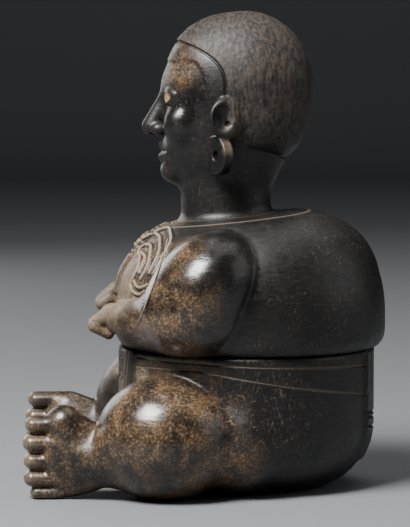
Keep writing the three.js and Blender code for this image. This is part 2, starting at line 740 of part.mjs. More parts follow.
function meshOf(name, solid) {
  const { vertProperties, triVerts } = solid.getMesh();
  const geometry = new THREE.BufferGeometry();
  geometry.setAttribute('position', new THREE.BufferAttribute(new Float32Array(vertProperties), 3));
  geometry.setIndex(new THREE.BufferAttribute(new Uint32Array(triVerts), 1));
  geometry.computeVertexNormals();
  const mesh = new THREE.Mesh(geometry, new THREE.MeshStandardMaterial(BURNISHED));
  mesh.name = name;
  return mesh;
}

const urn = new THREE.Group();
urn.add(meshOf('urn_base', lowerSolid()));
urn.add(meshOf('urn_lid', lidSolid()));
// The origin is under the middle of the whole figure, between the toes and the back.
urn.position.y = (TOE_REACH - BACK_REACH) / 2;

export default urn;
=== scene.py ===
import bpy
import numpy as np
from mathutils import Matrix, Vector, kdtree


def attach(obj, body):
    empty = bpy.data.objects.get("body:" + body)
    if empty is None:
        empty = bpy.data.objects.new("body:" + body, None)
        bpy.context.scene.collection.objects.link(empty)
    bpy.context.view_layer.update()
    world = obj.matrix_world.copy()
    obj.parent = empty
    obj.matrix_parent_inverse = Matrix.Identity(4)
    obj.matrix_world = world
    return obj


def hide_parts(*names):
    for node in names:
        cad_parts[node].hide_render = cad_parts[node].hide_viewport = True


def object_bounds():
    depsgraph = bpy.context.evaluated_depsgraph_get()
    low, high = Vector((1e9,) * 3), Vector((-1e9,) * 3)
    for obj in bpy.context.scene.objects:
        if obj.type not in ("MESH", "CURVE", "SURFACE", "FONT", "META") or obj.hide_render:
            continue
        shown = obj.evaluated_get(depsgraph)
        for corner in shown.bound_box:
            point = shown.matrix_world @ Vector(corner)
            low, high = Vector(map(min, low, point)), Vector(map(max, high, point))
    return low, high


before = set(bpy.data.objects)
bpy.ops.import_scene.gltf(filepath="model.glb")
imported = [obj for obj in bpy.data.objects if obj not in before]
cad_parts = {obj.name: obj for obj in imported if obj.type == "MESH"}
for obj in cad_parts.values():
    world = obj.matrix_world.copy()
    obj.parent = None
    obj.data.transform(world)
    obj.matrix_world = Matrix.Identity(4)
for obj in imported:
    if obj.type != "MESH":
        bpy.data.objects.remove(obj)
cad_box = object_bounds()

# Sizes of the urn in millimetres. SIDE is out from the midline, FRONT is towards the toes, UP is
# height, all three from the middle of the vessel.
SEAM_Z = 88.0
SEAM_GAP = 0.3
TOE_REACH = 142.6
BACK_REACH = 87.3
TUB_RADIUS, TUB_FRONT, TUB_FOOT, TUB_CORNER, TUB_CORNER_HEIGHT = 79.5, 1.0, 43.5, 36.0, 40.0
TUB_WALL = 8.5
FLOOR = 9.0
COLLAR_INNER, COLLAR_OUTER, COLLAR_ROOT, COLLAR_TOP = 65.0, 72.0, 84.0, 98.0
LEFT_KNEE = ((60, 54, 36.5), (42, 44, 39))
RIGHT_KNEE = ((60, 52, 39.5), (42, 45, 45))
HIP = ((48, 8, 36), (38, 36, 36))
SHIN = ((60, 74, 29), (59, 99, 24), 25, 17.5)
LEG_WALL = 9.0
HEEL = ((58, 102, 25), (14, 16, 21.5))
INSTEP = ((58, 114, 26), (13.5, 18, 25.5))
LEFT_RIDGE = ((58, 117, 45.5), (58, 96, 31), 12.2, 10.5)
TOE_SIDE, TOE_ROOT, TOE_BREADTH = 60.0, 120.0, 1.4
TOES = ((46.1, 5, 141), (34.8, 5.6, 142.6), (23.6, 5.3, 142), (12.8, 5.3, 142), (4, 4.3, 138))
CLOTH_RAISE = 1.8
CLOTH_FRONT_HALF, CLOTH_FRONT_LOW, CLOTH_TAPER = 36.0, 48.0, 0.3
CLOTH_BACK_HALF, CLOTH_BACK_LOW = 35.0, 17.0

TORSO_SIDE, TORSO_FRONT, TORSO_BELLY, TORSO_RISE, TORSO_DROP = 83.5, 85.8, 105.0, 73.0, 24.0
SHELF_HEIGHT, SHELF_AT, SHELF_SLOPE = 175.0, -42.0, 0.09
LID_RADIUS, LID_SPRING, LID_RISE, LID_POWER = 76.0, 96.0, 63.0, 2.6
UPPER_ARM = ((60, 32, 128), (38, 34, 37))
UPPER_ARM_LEAN = 0.27
ELBOW = ((60, 36, 110), (31, 30, 22))
FOREARM = ((62, 36, 112), (42, 70, 106), 22, 15)
HAND = ((40, 72, 107), (19, 86, 108), 13, 9)
FINGERS, FINGER_SPACING, FINGER_INNER = 4, 6.6, 6.0
FINGER_BENDS = ((87, 111, 4.1), (98, 103, 3.9), (89, 98, 3.4))
THUMB = ((30, 82, 113), (26, 95, 107), 5, 3.4)
RIGHT_HAND_RISE, RIGHT_HAND_SETBACK = 11.0, 5.0
STRIP_HALF, STRIP_LOW, STRIP_HIGH, STRIP_RAISE = 9.0, 122.0, 164.0, 1.6
NECK_SIDE, NECK_FRONT, NECK_DEPTH, NECK_BOTTOM, NECK_TOP = 27.0, 14.0, 28.5, 160.0, 212.0
NECK_BACK = ((0, 4, 208), (26, 26, 24))
NECK_COLLAR_OUT, NECK_COLLAR_RISE = 1.6, 1.6
BORE_RADIUS, BORE_FRONT = 17.0, 12.0
HEAD_HOLLOW = ((0, 6, 246), (29, 32, 37))

SKULL = ((0, 2.5, 254.6), (40, 43.5, 45.4))
NAPE = ((0, -3, 234), (36, 35, 33))
FOREHEAD = ((0, 16, 254), (37, 38, 43.5))
HAIR = 2.4
HAIR_TEMPLE, HAIR_REACH, HAIR_FROM, HAIR_OVER, HAIR_POWER = 16.0, 27.0, 250.0, 31.0, 2.8
HEM_HEIGHT, HEM_FRONT, HEM_SLOPE = 216.0, 3.0, 0.3
BAND_AHEAD, BAND_SINK, BAND_LOW = 12.0, 1.0, 228.0

# The face is built on plain proportions: the eyes half way up the head, thirds from the hair down.
CHIN_Z, CROWN_Z, HAIR_TIP_Z, FACE_WIDTH = 192.0, 300.0, 281.0, 76.0
FACE_THIRD = (HAIR_TIP_Z - CHIN_Z) / 3
EYE_Z = (CHIN_Z + CROWN_Z) / 2
NOSE_Z = CHIN_Z + FACE_THIRD
MOUTH_Z = NOSE_Z - FACE_THIRD / 3
EYE_SIDE = FACE_WIDTH / 5
FACE = ((0, 15, 240), (35.5, 38, 48))
JAW = ((0, 26, 211), (27, 28, 19.5))
CHEEK = ((19, 43, 229), (11, 11, 12))
BROW = ((0, 46.5, EYE_Z + 9), (19, 41.5, EYE_Z + 8), 6, 6)
SOCKET = ((EYE_SIDE, 59, EYE_Z), (10, 6, 6.5))
EYEBALL = ((EYE_SIDE, 45.8, EYE_Z), (7.4, 6.6, 6.6))
LIDS = ((EYE_SIDE, 45.6, EYE_Z), (9.4, 8.0, 7.2))
EYE_HALF, EYE_OPEN = 7.6, 3.2
NOSE = ((0, 49, 251), (0, 61, 227.5), 4.2, 6.2)
NOSTRIL = ((6.3, 56.5, 225.5), (4, 5, 4))
LIP_SIDE, LIP_FRONT, LIP_CURVE, LIP_TAPER = 10.0, 53.0, 3.0, 0.5
UPPER_LIP, LOWER_LIP = (3.4, 3.4), (3.8, -3.8)
CHIN = ((0, 47, 199), (11, 8.5, 7.5))
NOSTRIL_HOLE = ((4.4, 60.0, 221.3), (2.2, 3.2, 2.4))
MOUTH_LINE = ((0, 55.9, MOUTH_Z), (9.8, 52.8, MOUTH_Z + 0.2), 0.9, 0.6)
PHILTRUM = ((0, 59.0, MOUTH_Z + 6.2), (0, 57.6, MOUTH_Z + 9.4), 1.5, 1.2)
EAR = ((37.5, 15, 233), (5, 12, 13.5))
EAR_LEAN = 0.35
EAR_DISH = ((43, 17, 234), (4.5, 7, 8.5))
EAR_HOLE = ((40.5, 15, 230), (4, 1.4, 1.4))
SPOOL, SPOOL_RADIUS, SPOOL_HALF, SPOOL_HOLE, SPOOL_TURN = (35, 20, 210), 12.0, 3.4, 3.2, np.radians(62)


# Soft shapes: each function gives the distance to a surface, negative inside it.

def clamp01(value):
    return np.clip(value, 0.0, 1.0)


def soft_join(a, b, width):
    h = np.maximum(width - np.abs(a - b), 0) / width
    return np.minimum(a, b) - h * h * width * 0.25


def soft_cut(a, b, width):
    return -soft_join(-a, b, width)


def oval(side, front, up, shape, grow=0.0):
    centre, radii = shape
    s, f, u = side - centre[0], front - centre[1], up - centre[2]
    a, b, c = (radius + grow for radius in radii)
    near = np.sqrt((s / a) ** 2 + (f / b) ** 2 + (u / c) ** 2) + 1e-9
    slope = np.sqrt((s / a ** 2) ** 2 + (f / b ** 2) ** 2 + (u / c ** 2) ** 2) + 1e-9
    return near * (near - 1) / slope


def limb(side, front, up, shape):
    start, end, start_radius, end_radius = shape
    run = [end[axis] - start[axis] for axis in range(3)]
    s, f, u = side - start[0], front - start[1], up - start[2]
    t = clamp01((s * run[0] + f * run[1] + u * run[2]) / sum(v * v for v in run))
    away = np.sqrt((s - t * run[0]) ** 2 + (f - t * run[1]) ** 2 + (u - t * run[2]) ** 2)
    return away - (start_radius + (end_radius - start_radius) * t)


def tub(side, front, up):
    fall = np.minimum(1.0, np.maximum(0.0, TUB_CORNER_HEIGHT - up) / TUB_CORNER_HEIGHT)
    radius = TUB_FOOT + TUB_CORNER * np.sqrt(1 - fall * fall)
    return np.hypot(side, front - TUB_FRONT) - radius


def loincloth(side, front, up):
    skin = tub(side, front, up) - CLOTH_RAISE
    half = np.where(front > 0, CLOTH_FRONT_HALF - CLOTH_TAPER * (SEAM_Z - up), CLOTH_BACK_HALF)
    low = np.where(front > 0, CLOTH_FRONT_LOW, CLOTH_BACK_LOW)
    return soft_cut(skin, -np.maximum(side - half, low - up), 0.8)


def foot(side, front, up):
    body = soft_join(oval(side, front, up, HEEL), oval(side, front, up, INSTEP), 6)
    toes = np.full_like(body, 1e3)
    for height, radius, reach in TOES:
        toe = ((0, TOE_ROOT, height), (0, reach - radius, height), radius, radius)
        toes = np.minimum(toes, limb((side - TOE_SIDE) / TOE_BREADTH, front, up, toe))
    return soft_join(body, toes, 1.8)


def leg(side, front, up, knee):
    limbs = soft_join(oval(side, front, up, knee), oval(side, front, up, HIP), 8)
    limbs = soft_join(limbs, limb(side, front, up, SHIN), 4)
    return soft_join(limbs, foot(side, front, up), 3)


def lower_outside(x, front, up):
    side = np.abs(x)
    wall = np.minimum(tub(side, front, up), loincloth(side, front, up))
    left = soft_join(leg(side, front, up, LEFT_KNEE), limb(side, front, up, LEFT_RIDGE), 3)
    legs = np.where(x > 0, left, leg(side, front, up, RIGHT_KNEE))
    return soft_join(wall, legs, 4)


def lower_hollow(x, front, up):
    side = np.abs(x)
    radius, corner = TUB_RADIUS - TUB_WALL, TUB_CORNER - FLOOR / 2
    height = TUB_CORNER_HEIGHT - FLOOR / 2
    fall = np.minimum(1.0, np.maximum(0.0, FLOOR + height - up) / height)
    away = np.hypot(side, front)
    bowl = np.maximum(away - (radius - corner + corner * np.sqrt(1 - fall * fall)), FLOOR - up)
    bowl = np.maximum(bowl, up - (COLLAR_ROOT - np.maximum(away - COLLAR_INNER, 0)))
    mouth = np.maximum(away - COLLAR_INNER, SEAM_Z - 30 - up)
    knee = np.where(x > 0, oval(side, front, up, LEFT_KNEE, -LEG_WALL),
                    oval(side, front, up, RIGHT_KNEE, -LEG_WALL))
    hip = oval(side, front, up, HIP, -LEG_WALL)
    return soft_join(np.minimum(bowl, mouth), np.minimum(knee, hip), 3)


def lower_vessel(x, front, up):
    body = soft_cut(soft_cut(lower_outside(x, front, up), SEAM_Z - up, 1.2), up, 1.6)
    away = np.hypot(x, front)
    collar = soft_cut(away - COLLAR_OUTER, np.minimum(COLLAR_TOP - up, up - COLLAR_ROOT), 1.6)
    return soft_cut(np.minimum(body, collar), lower_hollow(x, front, up), 1.6)


def torso(side, front, up):
    lean = -1.5 - 3.5 * clamp01((up - 135) / 25)
    above = up > TORSO_BELLY
    power = np.where(above, 2.5, 4.0)
    across = np.hypot(side / TORSO_SIDE, (front - lean) / TORSO_FRONT)
    along = np.abs(up - TORSO_BELLY) / np.where(above, TORSO_RISE, TORSO_DROP)
    drum = ((across ** power + along ** power) ** (1 / power) - 1) * TORSO_RISE
    return soft_cut(drum, -above_shelf(front, up), 4)


def above_shelf(front, up):
    return up - (SHELF_HEIGHT - SHELF_SLOPE * (front - SHELF_AT))


def arm(side, front, up):
    leant = front + UPPER_ARM_LEAN * (up - UPPER_ARM[0][2])
    upper = soft_join(oval(side, leant, up, UPPER_ARM), oval(side, front, up, ELBOW), 14)
    return soft_join(upper, limb(side, front, up, FOREARM), 8)


def hand(side, front, up):
    shape = limb(side, front, up, HAND)
    for index in range(FINGERS):
        across = FINGER_INNER + index * FINGER_SPACING
        knuckle, joint, tip = [((across, f, u), radius) for f, u, radius in FINGER_BENDS]
        near = limb(side, front, up, (knuckle[0], joint[0], knuckle[1], joint[1]))
        end = limb(side, front, up, (joint[0], tip[0], joint[1], tip[1]))
        shape = soft_join(shape, np.minimum(near, end), 1.6)
    return soft_join(shape, limb(side, front, up, THUMB), 2)


def neck(side, front, up):
    away = (np.hypot(side / NECK_SIDE, (front - NECK_FRONT) / NECK_DEPTH) - 1) * NECK_SIDE
    post = np.maximum(away, np.maximum(NECK_BOTTOM - up, up - NECK_TOP))
    return soft_join(post, oval(side, front, up, NECK_BACK), 6)


def neck_collar(side, front, up):
    """A low step round the foot of the neck."""
    radius = NECK_SIDE + NECK_COLLAR_OUT
    away = (np.hypot(side / radius, (front - NECK_FRONT) / (NECK_DEPTH + NECK_COLLAR_OUT)) - 1) * radius
    return soft_cut(away, NECK_COLLAR_RISE - above_shelf(front, up), 1.0)


def hair_edge(front, up):
    rise = clamp01((up - HAIR_FROM) / HAIR_OVER)
    ahead = front - (HAIR_TEMPLE + HAIR_REACH * rise ** HAIR_POWER)
    over = HAIR_FROM + HAIR_OVER - up
    below = HEM_HEIGHT + HEM_SLOPE * (front - HEM_FRONT) - up
    return np.maximum(np.minimum(ahead, over), below)


def skull(side, front, up):
    back = soft_join(oval(side, front, up, SKULL), oval(side, front, up, NAPE), 6)
    return soft_join(back, oval(side, front, up, FOREHEAD), 4)


def face(side, front, up):
    shape = soft_join(oval(side, front, up, FACE), oval(side, front, up, JAW), 10)
    shape = soft_join(shape, oval(side, front, up, CHEEK), 8)
    shape = soft_join(shape, limb(side, front, up, BROW), 7)
    shape = soft_cut(shape, oval(side, front, up, SOCKET), 4)
    across = (side - EYE_SIDE) / EYE_HALF
    slit = np.abs(up - EYE_Z) - EYE_OPEN * (1 - across ** 2)
    lids = soft_cut(oval(side, front, up, LIDS), slit, 0.5)
    shape = soft_join(soft_cut(shape, np.maximum(slit, 47 - front), 0.5), lids, 0.6)
    shape = np.minimum(shape, oval(side, front, up, EYEBALL))
    shape = soft_join(shape, limb(side, front, up, NOSE), 4)
    shape = soft_join(shape, oval(side, front, up, NOSTRIL), 2.5)
    shape = soft_join(shape, oval(side, front, up, CHIN), 6)
    for radius, rise in (UPPER_LIP, LOWER_LIP):
        middle = (0, LIP_FRONT, MOUTH_Z + rise)
        corner = (LIP_SIDE, LIP_FRONT - LIP_CURVE, MOUTH_Z + rise * LIP_TAPER)
        shape = soft_join(shape, limb(side, front, up, (middle, corner, radius, radius * LIP_TAPER)), 1.5)
    shape = soft_cut(shape, oval(side, front, up, NOSTRIL_HOLE), 1.0)
    shape = soft_cut(shape, limb(side, front, up, MOUTH_LINE), 1.0)
    return soft_cut(shape, limb(side, front, up, PHILTRUM), 1.6)


def ear(side, front, up):
    shell = oval(side + EAR_LEAN * (EAR[0][1] - front), front, up, EAR)
    shell = soft_cut(shell, oval(side, front, up, EAR_DISH), 1.5)
    return soft_cut(shell, oval(side, front, up, EAR_HOLE), 0.8)


def spool(side, front, up):
    s, f, u = side - SPOOL[0], front - SPOOL[1], up - SPOOL[2]
    through = s * np.cos(SPOOL_TURN) + f * np.sin(SPOOL_TURN)
    across = f * np.cos(SPOOL_TURN) - s * np.sin(SPOOL_TURN)
    away = np.hypot(across, u)
    disc = soft_cut(away - SPOOL_RADIUS, SPOOL_HALF - np.abs(through), 1.2)
    return soft_cut(disc, away - SPOOL_HOLE, 1.0)


def head(side, front, up):
    bare = skull(side, front, up)
    hair = soft_cut(bare, -hair_edge(front, up), 1.2)
    shape = soft_join(bare + HAIR, face(side, front, up), 8)
    shape = soft_join(shape, neck(side, front, up), 9)
    # A smooth band lies in front of the hair, from the brow to the ear.
    band = np.maximum(bare + BAND_SINK, hair_edge(front, up) - BAND_AHEAD)
    shape = soft_join(shape, np.maximum(band, BAND_LOW - up), 2.5)
    shape = np.minimum(shape, hair)
    shape = soft_join(shape, ear(side, front, up), 2)
    return soft_join(shape, spool(side, front, up), 1.5)


def torso_and_arms(x, front, up):
    side = np.abs(x)
    skin = torso(side, front, up)
    edge = np.maximum(np.maximum(side - STRIP_HALF, STRIP_LOW - up), np.maximum(up - STRIP_HIGH, -front))
    strip = soft_cut(skin - STRIP_RAISE, -edge, 0.8)
    return soft_join(np.minimum(skin, strip), arm(side, front, up), 2)


def upper_outside(x, front, up):
    side = np.abs(x)
    body = torso_and_arms(x, front, up)
    left = hand(x, front, up)
    right = hand(-x, front + RIGHT_HAND_SETBACK, up - RIGHT_HAND_RISE)
    body = soft_join(body, np.minimum(left, right), 3)
    whole = soft_join(soft_join(body, head(side, front, up), 6), neck_collar(side, front, up), 0.6)
    return np.where(up < NECK_BOTTOM - 18, body, whole)


def lid_hollow(x, front, up):
    away = np.hypot(x, front)
    along = np.maximum(up - LID_SPRING, 0) / LID_RISE
    dome = ((away / LID_RADIUS) ** LID_POWER + along ** LID_POWER) ** (1 / LID_POWER) - 1
    bore = np.maximum(np.hypot(x, front - BORE_FRONT) - BORE_RADIUS, np.maximum(148 - up, up - 222))
    return soft_join(np.minimum(dome * LID_RISE, bore), oval(x, front, up, HEAD_HOLLOW), 3)


def lid_vessel(x, front, up):
    body = soft_cut(upper_outside(x, front, up), up - SEAM_Z - SEAM_GAP, 1.6)
    return soft_cut(body, lid_hollow(x, front, up), 1.6)
# From a distance function to a mesh: a grid is sampled near the surface, every grid cell that the
# surface crosses gives one point, and the triangles are then split where finer work needs them.

COARSE_STEP = 4
CHUNK = 60000
PROBE = 0.04


def evaluate(distance, points):
    values = np.empty(len(points))
    for start in range(0, len(points), CHUNK):
        part = points[start:start + CHUNK]
        values[start:start + CHUNK] = distance(part[:, 0], part[:, 1], part[:, 2])
    return values


def grid_lines(low, high, zones, wide, narrow):
    """Lines along one axis, narrow steps inside the zones and wide ones elsewhere."""
    lines = [low]
    while lines[-1] < high or (len(lines) - 1) % COARSE_STEP:
        inside = any(start <= lines[-1] < end for start, end in zones)
        lines.append(lines[-1] + (narrow if inside else wide))
    return np.array(lines)


def grid_points(lines, index):
    return np.stack([line[slot] for line, slot in zip(lines, index)], axis=1)


def sample(distance, lines):
    coarse = [line[::COARSE_STEP] for line in lines]
    shape = tuple(len(line) for line in coarse)
    index = np.indices(shape).reshape(3, -1)
    values = evaluate(distance, grid_points(coarse, index)).reshape(shape)
    step = max(np.diff(line).max() for line in coarse)
    near = np.abs(values) < 1.5 * step
    cells = np.zeros(tuple(n - 1 for n in shape), bool)
    for corner in np.ndindex(2, 2, 2):
        cells |= near[tuple(slice(c, c + n - 1) for c, n in zip(corner, shape))]
    fine_shape = tuple(len(line) for line in lines)
    wanted = np.zeros(fine_shape, bool)
    block = cells.repeat(COARSE_STEP, 0).repeat(COARSE_STEP, 1).repeat(COARSE_STEP, 2)
    for corner in np.ndindex(2, 2, 2):
        wanted[tuple(slice(c, c + n) for c, n in zip(corner, block.shape))] |= block
    nearest = [np.minimum(np.round(np.arange(n) / COARSE_STEP).astype(int), m - 1)
               for n, m in zip(fine_shape, shape)]
    full = values[np.ix_(*nearest)]
    chosen = np.nonzero(wanted)
    full[chosen] = evaluate(distance, grid_points(lines, chosen))
    return full


def surface(distance, lines):
    """One point for each crossed cell, and two triangles round each crossed grid edge."""
    values = sample(distance, lines)
    solid = values < 0
    cell_shape = tuple(n - 1 for n in values.shape)
    count = np.zeros(cell_shape)
    total = np.zeros(cell_shape + (3,))
    for axis in range(3):
        low = [slice(None)] * 3
        high = [slice(None)] * 3
        low[axis], high[axis] = slice(0, -1), slice(1, None)
        a, b = values[tuple(low)], values[tuple(high)]
        crossed = np.nonzero(solid[tuple(low)] != solid[tuple(high)])
        t = a[crossed] / (a[crossed] - b[crossed])
        place = grid_points(lines, crossed)
        place[:, axis] += t * np.diff(lines[axis])[crossed[axis]]
        others = [other for other in range(3) if other != axis]
        for shift in np.ndindex(2, 2):
            cell = [crossed[0].copy(), crossed[1].copy(), crossed[2].copy()]
            for other, back in zip(others, shift):
                cell[other] -= back
            inside = np.all([(c >= 0) & (c < n) for c, n in zip(cell, cell_shape)], axis=0)
            cell = tuple(c[inside] for c in cell)
            np.add.at(count, cell, 1)
            np.add.at(total, cell, place[inside])
    used = count > 0
    number = np.full(cell_shape, -1)
    number[used] = np.arange(used.sum())
    points = total[used] / count[used][:, None]
    triangles = []
    for axis in range(3):
        low = [slice(None)] * 3
        high = [slice(None)] * 3
        low[axis], high[axis] = slice(0, -1), slice(1, None)
        crossed = np.stack(np.nonzero(solid[tuple(low)] != solid[tuple(high)]))
        rising = solid[tuple(low)][tuple(crossed)]
        second, third = (axis + 1) % 3, (axis + 2) % 3
        ring = []
        for back_second, back_third in ((1, 1), (0, 1), (0, 0), (1, 0)):
            cell = crossed.copy()
            cell[second] -= back_second
            cell[third] -= back_third
            ring.append(number[tuple(cell)])
        ring = np.stack(ring, axis=1)
        ring[~rising] = ring[~rising][:, ::-1]
        diagonal = np.linalg.norm(points[ring[:, 0]] - points[ring[:, 2]], axis=1)
        other = np.linalg.norm(points[ring[:, 1]] - points[ring[:, 3]], axis=1)
        ring = np.where((diagonal > other)[:, None], np.roll(ring, 1, axis=1), ring)
        triangles += [ring[:, [0, 1, 2]], ring[:, [0, 2, 3]]]
    return points, np.concatenate(triangles)


def slope(distance, points):
    steps = np.eye(3) * PROBE
    return np.stack([(evaluate(distance, points + step) - evaluate(distance, points - step)) / (2 * PROBE)
                     for step in steps], axis=1)


def settle(distance, points, limit, rounds):
    """Moves the points on to the surface, by no more than the limit in each round."""
    for _ in range(rounds):
        grade = slope(distance, points)
        length2 = np.maximum((grade ** 2).sum(axis=1), 0.05)
        move = -(evaluate(distance, points) / length2)[:, None] * grade
        length = np.linalg.norm(move, axis=1, keepdims=True)
        points = points + move * np.minimum(1, limit / np.maximum(length, 1e-9))
    return points


def relax(points, triangles, share):
    edges = np.concatenate([triangles[:, [0, 1]], triangles[:, [1, 2]], triangles[:, [2, 0]]])
    total = np.zeros_like(points)
    count = np.zeros(len(points))
    np.add.at(total, edges[:, 0], points[edges[:, 1]])
    np.add.at(count, edges[:, 0], 1)
    return points + share * (total / count[:, None] - points)


def split_long(points, triangles, wanted):
    """Halves every edge longer than the wanted length there, and keeps the mesh closed."""
    sides = np.stack([triangles[:, [0, 1]], triangles[:, [1, 2]], triangles[:, [2, 0]]], axis=1)
    edges, back = np.unique(np.sort(sides.reshape(-1, 2), axis=1), axis=0, return_inverse=True)
    ends = points[edges]
    middle = ends.mean(axis=1)
    long_edge = np.linalg.norm(ends[:, 0] - ends[:, 1], axis=1) > wanted(middle)
    added = np.full(len(edges), -1)
    added[long_edge] = len(points) + np.arange(long_edge.sum())
    points = np.concatenate([points, middle[long_edge]])
    mids = added[back.reshape(-1, 3)]
    cut = (mids >= 0).astype(int)
    kind = cut.sum(axis=1)
    result = [triangles[kind == 0]]
    # Each kind is turned so that its cut sides come first.
    for cuts, lead in ((1, (1, 0, 0)), (2, (1, 1, 0)), (3, (1, 1, 1))):
        for turn in range(3 if cuts < 3 else 1):
            chosen = np.all(np.roll(cut, -turn, axis=1) == lead, axis=1)
            a, b, c = np.roll(triangles[chosen], -turn, axis=1).T
            ab, bc, ca = np.roll(mids[chosen], -turn, axis=1).T
            if cuts == 1:
                new = [(a, ab, c), (ab, b, c)]
            elif cuts == 2:
                new = [(ab, b, bc), (a, ab, bc), (a, bc, c)]
            else:
                new = [(a, ab, ca), (ab, b, bc), (ca, bc, c), (ab, bc, ca)]
            result += [np.stack(corner, axis=1) for corner in new]
    return points, np.concatenate(result)


# Carving lines, as runs of points in (side, front, up). Each run is laid on the clay from outside.

LINE_STEP = 0.8


def lay(distance, starts, direction):
    """Moves points along a direction until they touch the clay."""
    points = np.array(starts, float)
    heading = np.broadcast_to(np.array(direction, float), points.shape)
    heading = heading / np.linalg.norm(heading, axis=1, keepdims=True)
    for _ in range(90):
        points = points + heading * (0.6 * np.clip(evaluate(distance, points), -4, 8))[:, None]
    return points


def even_run(points):
    """The same line with its points one LINE_STEP apart."""
    points = np.array(points, float)
    gaps = np.linalg.norm(np.diff(points, axis=0), axis=1)
    along = np.concatenate([[0], np.cumsum(gaps)])
    count = max(2, int(along[-1] / LINE_STEP) + 1)
    wanted = np.linspace(0, along[-1], count)
    return np.stack([np.interp(wanted, along, points[:, axis]) for axis in range(3)], axis=1)


def mirrored(runs):
    return runs + [run * (-1, 1, 1) for run in runs]


def arc(centre, half_width, half_height, start, end, count=60):
    turn = np.radians(np.linspace(start, end, count))
    return centre[0] + half_width * np.cos(turn), centre[1] + half_height * np.sin(turn)


# Shoulder shelf: its rim, and a ring round the foot of the neck.
RIM_SIDE, RIM_FRONT, RIM_MIDDLE, RIM_POWER = 46.0, 47.0, 8.0, 2.0
NECK_RING = 1.1
# Chest ornament on each side: two arches over a hooked loop that ends in a scroll. Each ridge is a
# soft curve through a few (side, up) handles, and a plain strip runs down the midline.
CHEST_ARCHES = (((6, 152), (10, 160), (20, 164), (32, 161), (41, 156), (46.5, 148), (51, 138)),
                ((14, 160), (26, 158.5), (37.5, 153), (43, 147), (46, 138)))
CHEST_HOOK = (((22, 149), (31.5, 147), (35, 142.5), (37, 137.5)),
              ((41.5, 134), (41.5, 139), (39, 144.5), (33, 150), (26, 153.5), (17, 153), (16, 149.5),
               (26, 146), (32, 140), (33, 134.5), (32.5, 129.5), (36.5, 126), (44, 124.5), (50, 127)),
              ((35.5, 132), (39.5, 129.4), (44, 128.8), (49, 131)))
# A thin ridge down the front of each arm, as (front, up) handles.
ARM_RIDGE = ((52, 158), (55, 150), (59, 141), (64, 128), (68.5, 116), (71, 109))
NOTCHES, NOTCH_SPACING, NOTCH_TOP, NOTCH_HALF = 8, 2.6, 166.0, 8.6


def shelf_lines():
    turn = np.radians(np.linspace(0, 360, 240))
    c, s = np.cos(turn), np.sin(turn)
    side = RIM_SIDE * np.sign(c) * np.abs(c) ** (2 / RIM_POWER)
    front = RIM_MIDDLE + RIM_FRONT * np.sign(s) * np.abs(s) ** (2 / RIM_POWER)
    ring = (NECK_SIDE * NECK_RING * c, NECK_FRONT + NECK_DEPTH * NECK_RING * s)
    return [even_run(lay(torso_and_arms, np.stack([a, b, np.full_like(a, 190)], axis=1), (0, 0, -1)))
            for a, b in ((side, front), ring)]


def through(handles, per_span=12):
    """A soft curve through the handles."""
    held = np.array([handles[0], *handles, handles[-1]], float)
    t = np.linspace(0, 1, per_span, endpoint=False)[:, None]
    curve = []
    for a, b, c, d in zip(held, held[1:], held[2:], held[3:]):
        curve.append(b + 0.5 * t * (c - a + t * (2 * a - 5 * b + 4 * c - d
                                                 + t * (3 * (b - c) + d - a))))
    return np.concatenate(curve + [held[-1:]])


def chest_lines():
    runs = []
    for handles in CHEST_ARCHES + CHEST_HOOK:
        side, up = through(handles).T
        starts = np.stack([side, np.full_like(side, 110), up], axis=1)
        runs.append(even_run(lay(torso_and_arms, starts, (0, -1, 0))))
    return mirrored(runs)


def arm_lines():
    front, up = through(ARM_RIDGE).T
    starts = np.stack([np.full_like(front, 110), front, up], axis=1)
    return mirrored([even_run(lay(torso_and_arms, starts, (-1, 0, 0)))])


def notch_lines():
    runs = []
    for index in range(NOTCHES):
        side = np.linspace(-NOTCH_HALF, NOTCH_HALF, 12)
        up = np.full_like(side, NOTCH_TOP - index * NOTCH_SPACING)
        runs.append(even_run(lay(torso_and_arms, np.stack([side, up * 0 + 110, up], axis=1), (0, -1, 0))))
    return runs


def hair_lines():
    """The groove along the hair's edge, from ear to ear over the brow, and its hem behind."""
    up = np.linspace(247.5, HAIR_FROM + HAIR_OVER - 0.5, 80)
    rise = clamp01((up - HAIR_FROM) / HAIR_OVER)
    front = HAIR_TEMPLE + HAIR_REACH * rise ** HAIR_POWER + 0.4
    starts = np.stack([np.full_like(up, 60), front, up], axis=1)
    edge = lay(lid_outside, starts, (-1, 0, 0))
    side = np.linspace(edge[-1, 0], 0, 20)
    brow = np.stack([side, np.full_like(side, 70), np.full_like(side, up[-1])], axis=1)
    brow = lay(lid_outside, brow, (0, -1, 0))
    back = np.linspace(-24, 2, 40)
    hem_up = HEM_HEIGHT + HEM_SLOPE * (back - HEM_FRONT) - 0.6
    hem = lay(lid_outside, np.stack([np.full_like(back, 60), back, hem_up], axis=1), (-1, 0, 0))
    return mirrored([even_run(np.concatenate([edge, brow])), even_run(hem)])


def lid_outside(x, front, up):
    return upper_outside(x, front, up)


# Belt: a band under the rim that widens towards the back, given by bearing from straight ahead.
BELT_BEARINGS = (28, 64, 105, 154)
BELT_LOWER = (79.5, 80.2, 70.5, 60.0)
BELT_UPPER = (85.0, 84.5, 82.0, 78.5)


def belt_lines():
    bearing = np.linspace(BELT_BEARINGS[0], BELT_BEARINGS[-1], 160)
    c, s = np.cos(np.radians(bearing)), np.sin(np.radians(bearing))
    runs = []
    for heights in (BELT_LOWER, BELT_UPPER):
        up = np.interp(bearing, BELT_BEARINGS, heights)
        for sign in (1, -1):
            starts = np.stack([sign * s * 140, c * 140, up], axis=1)
            heading = np.stack([-sign * s, -c, up * 0], axis=1)
            runs.append(even_run(lay(lower_outside, starts, heading)))
    return runs


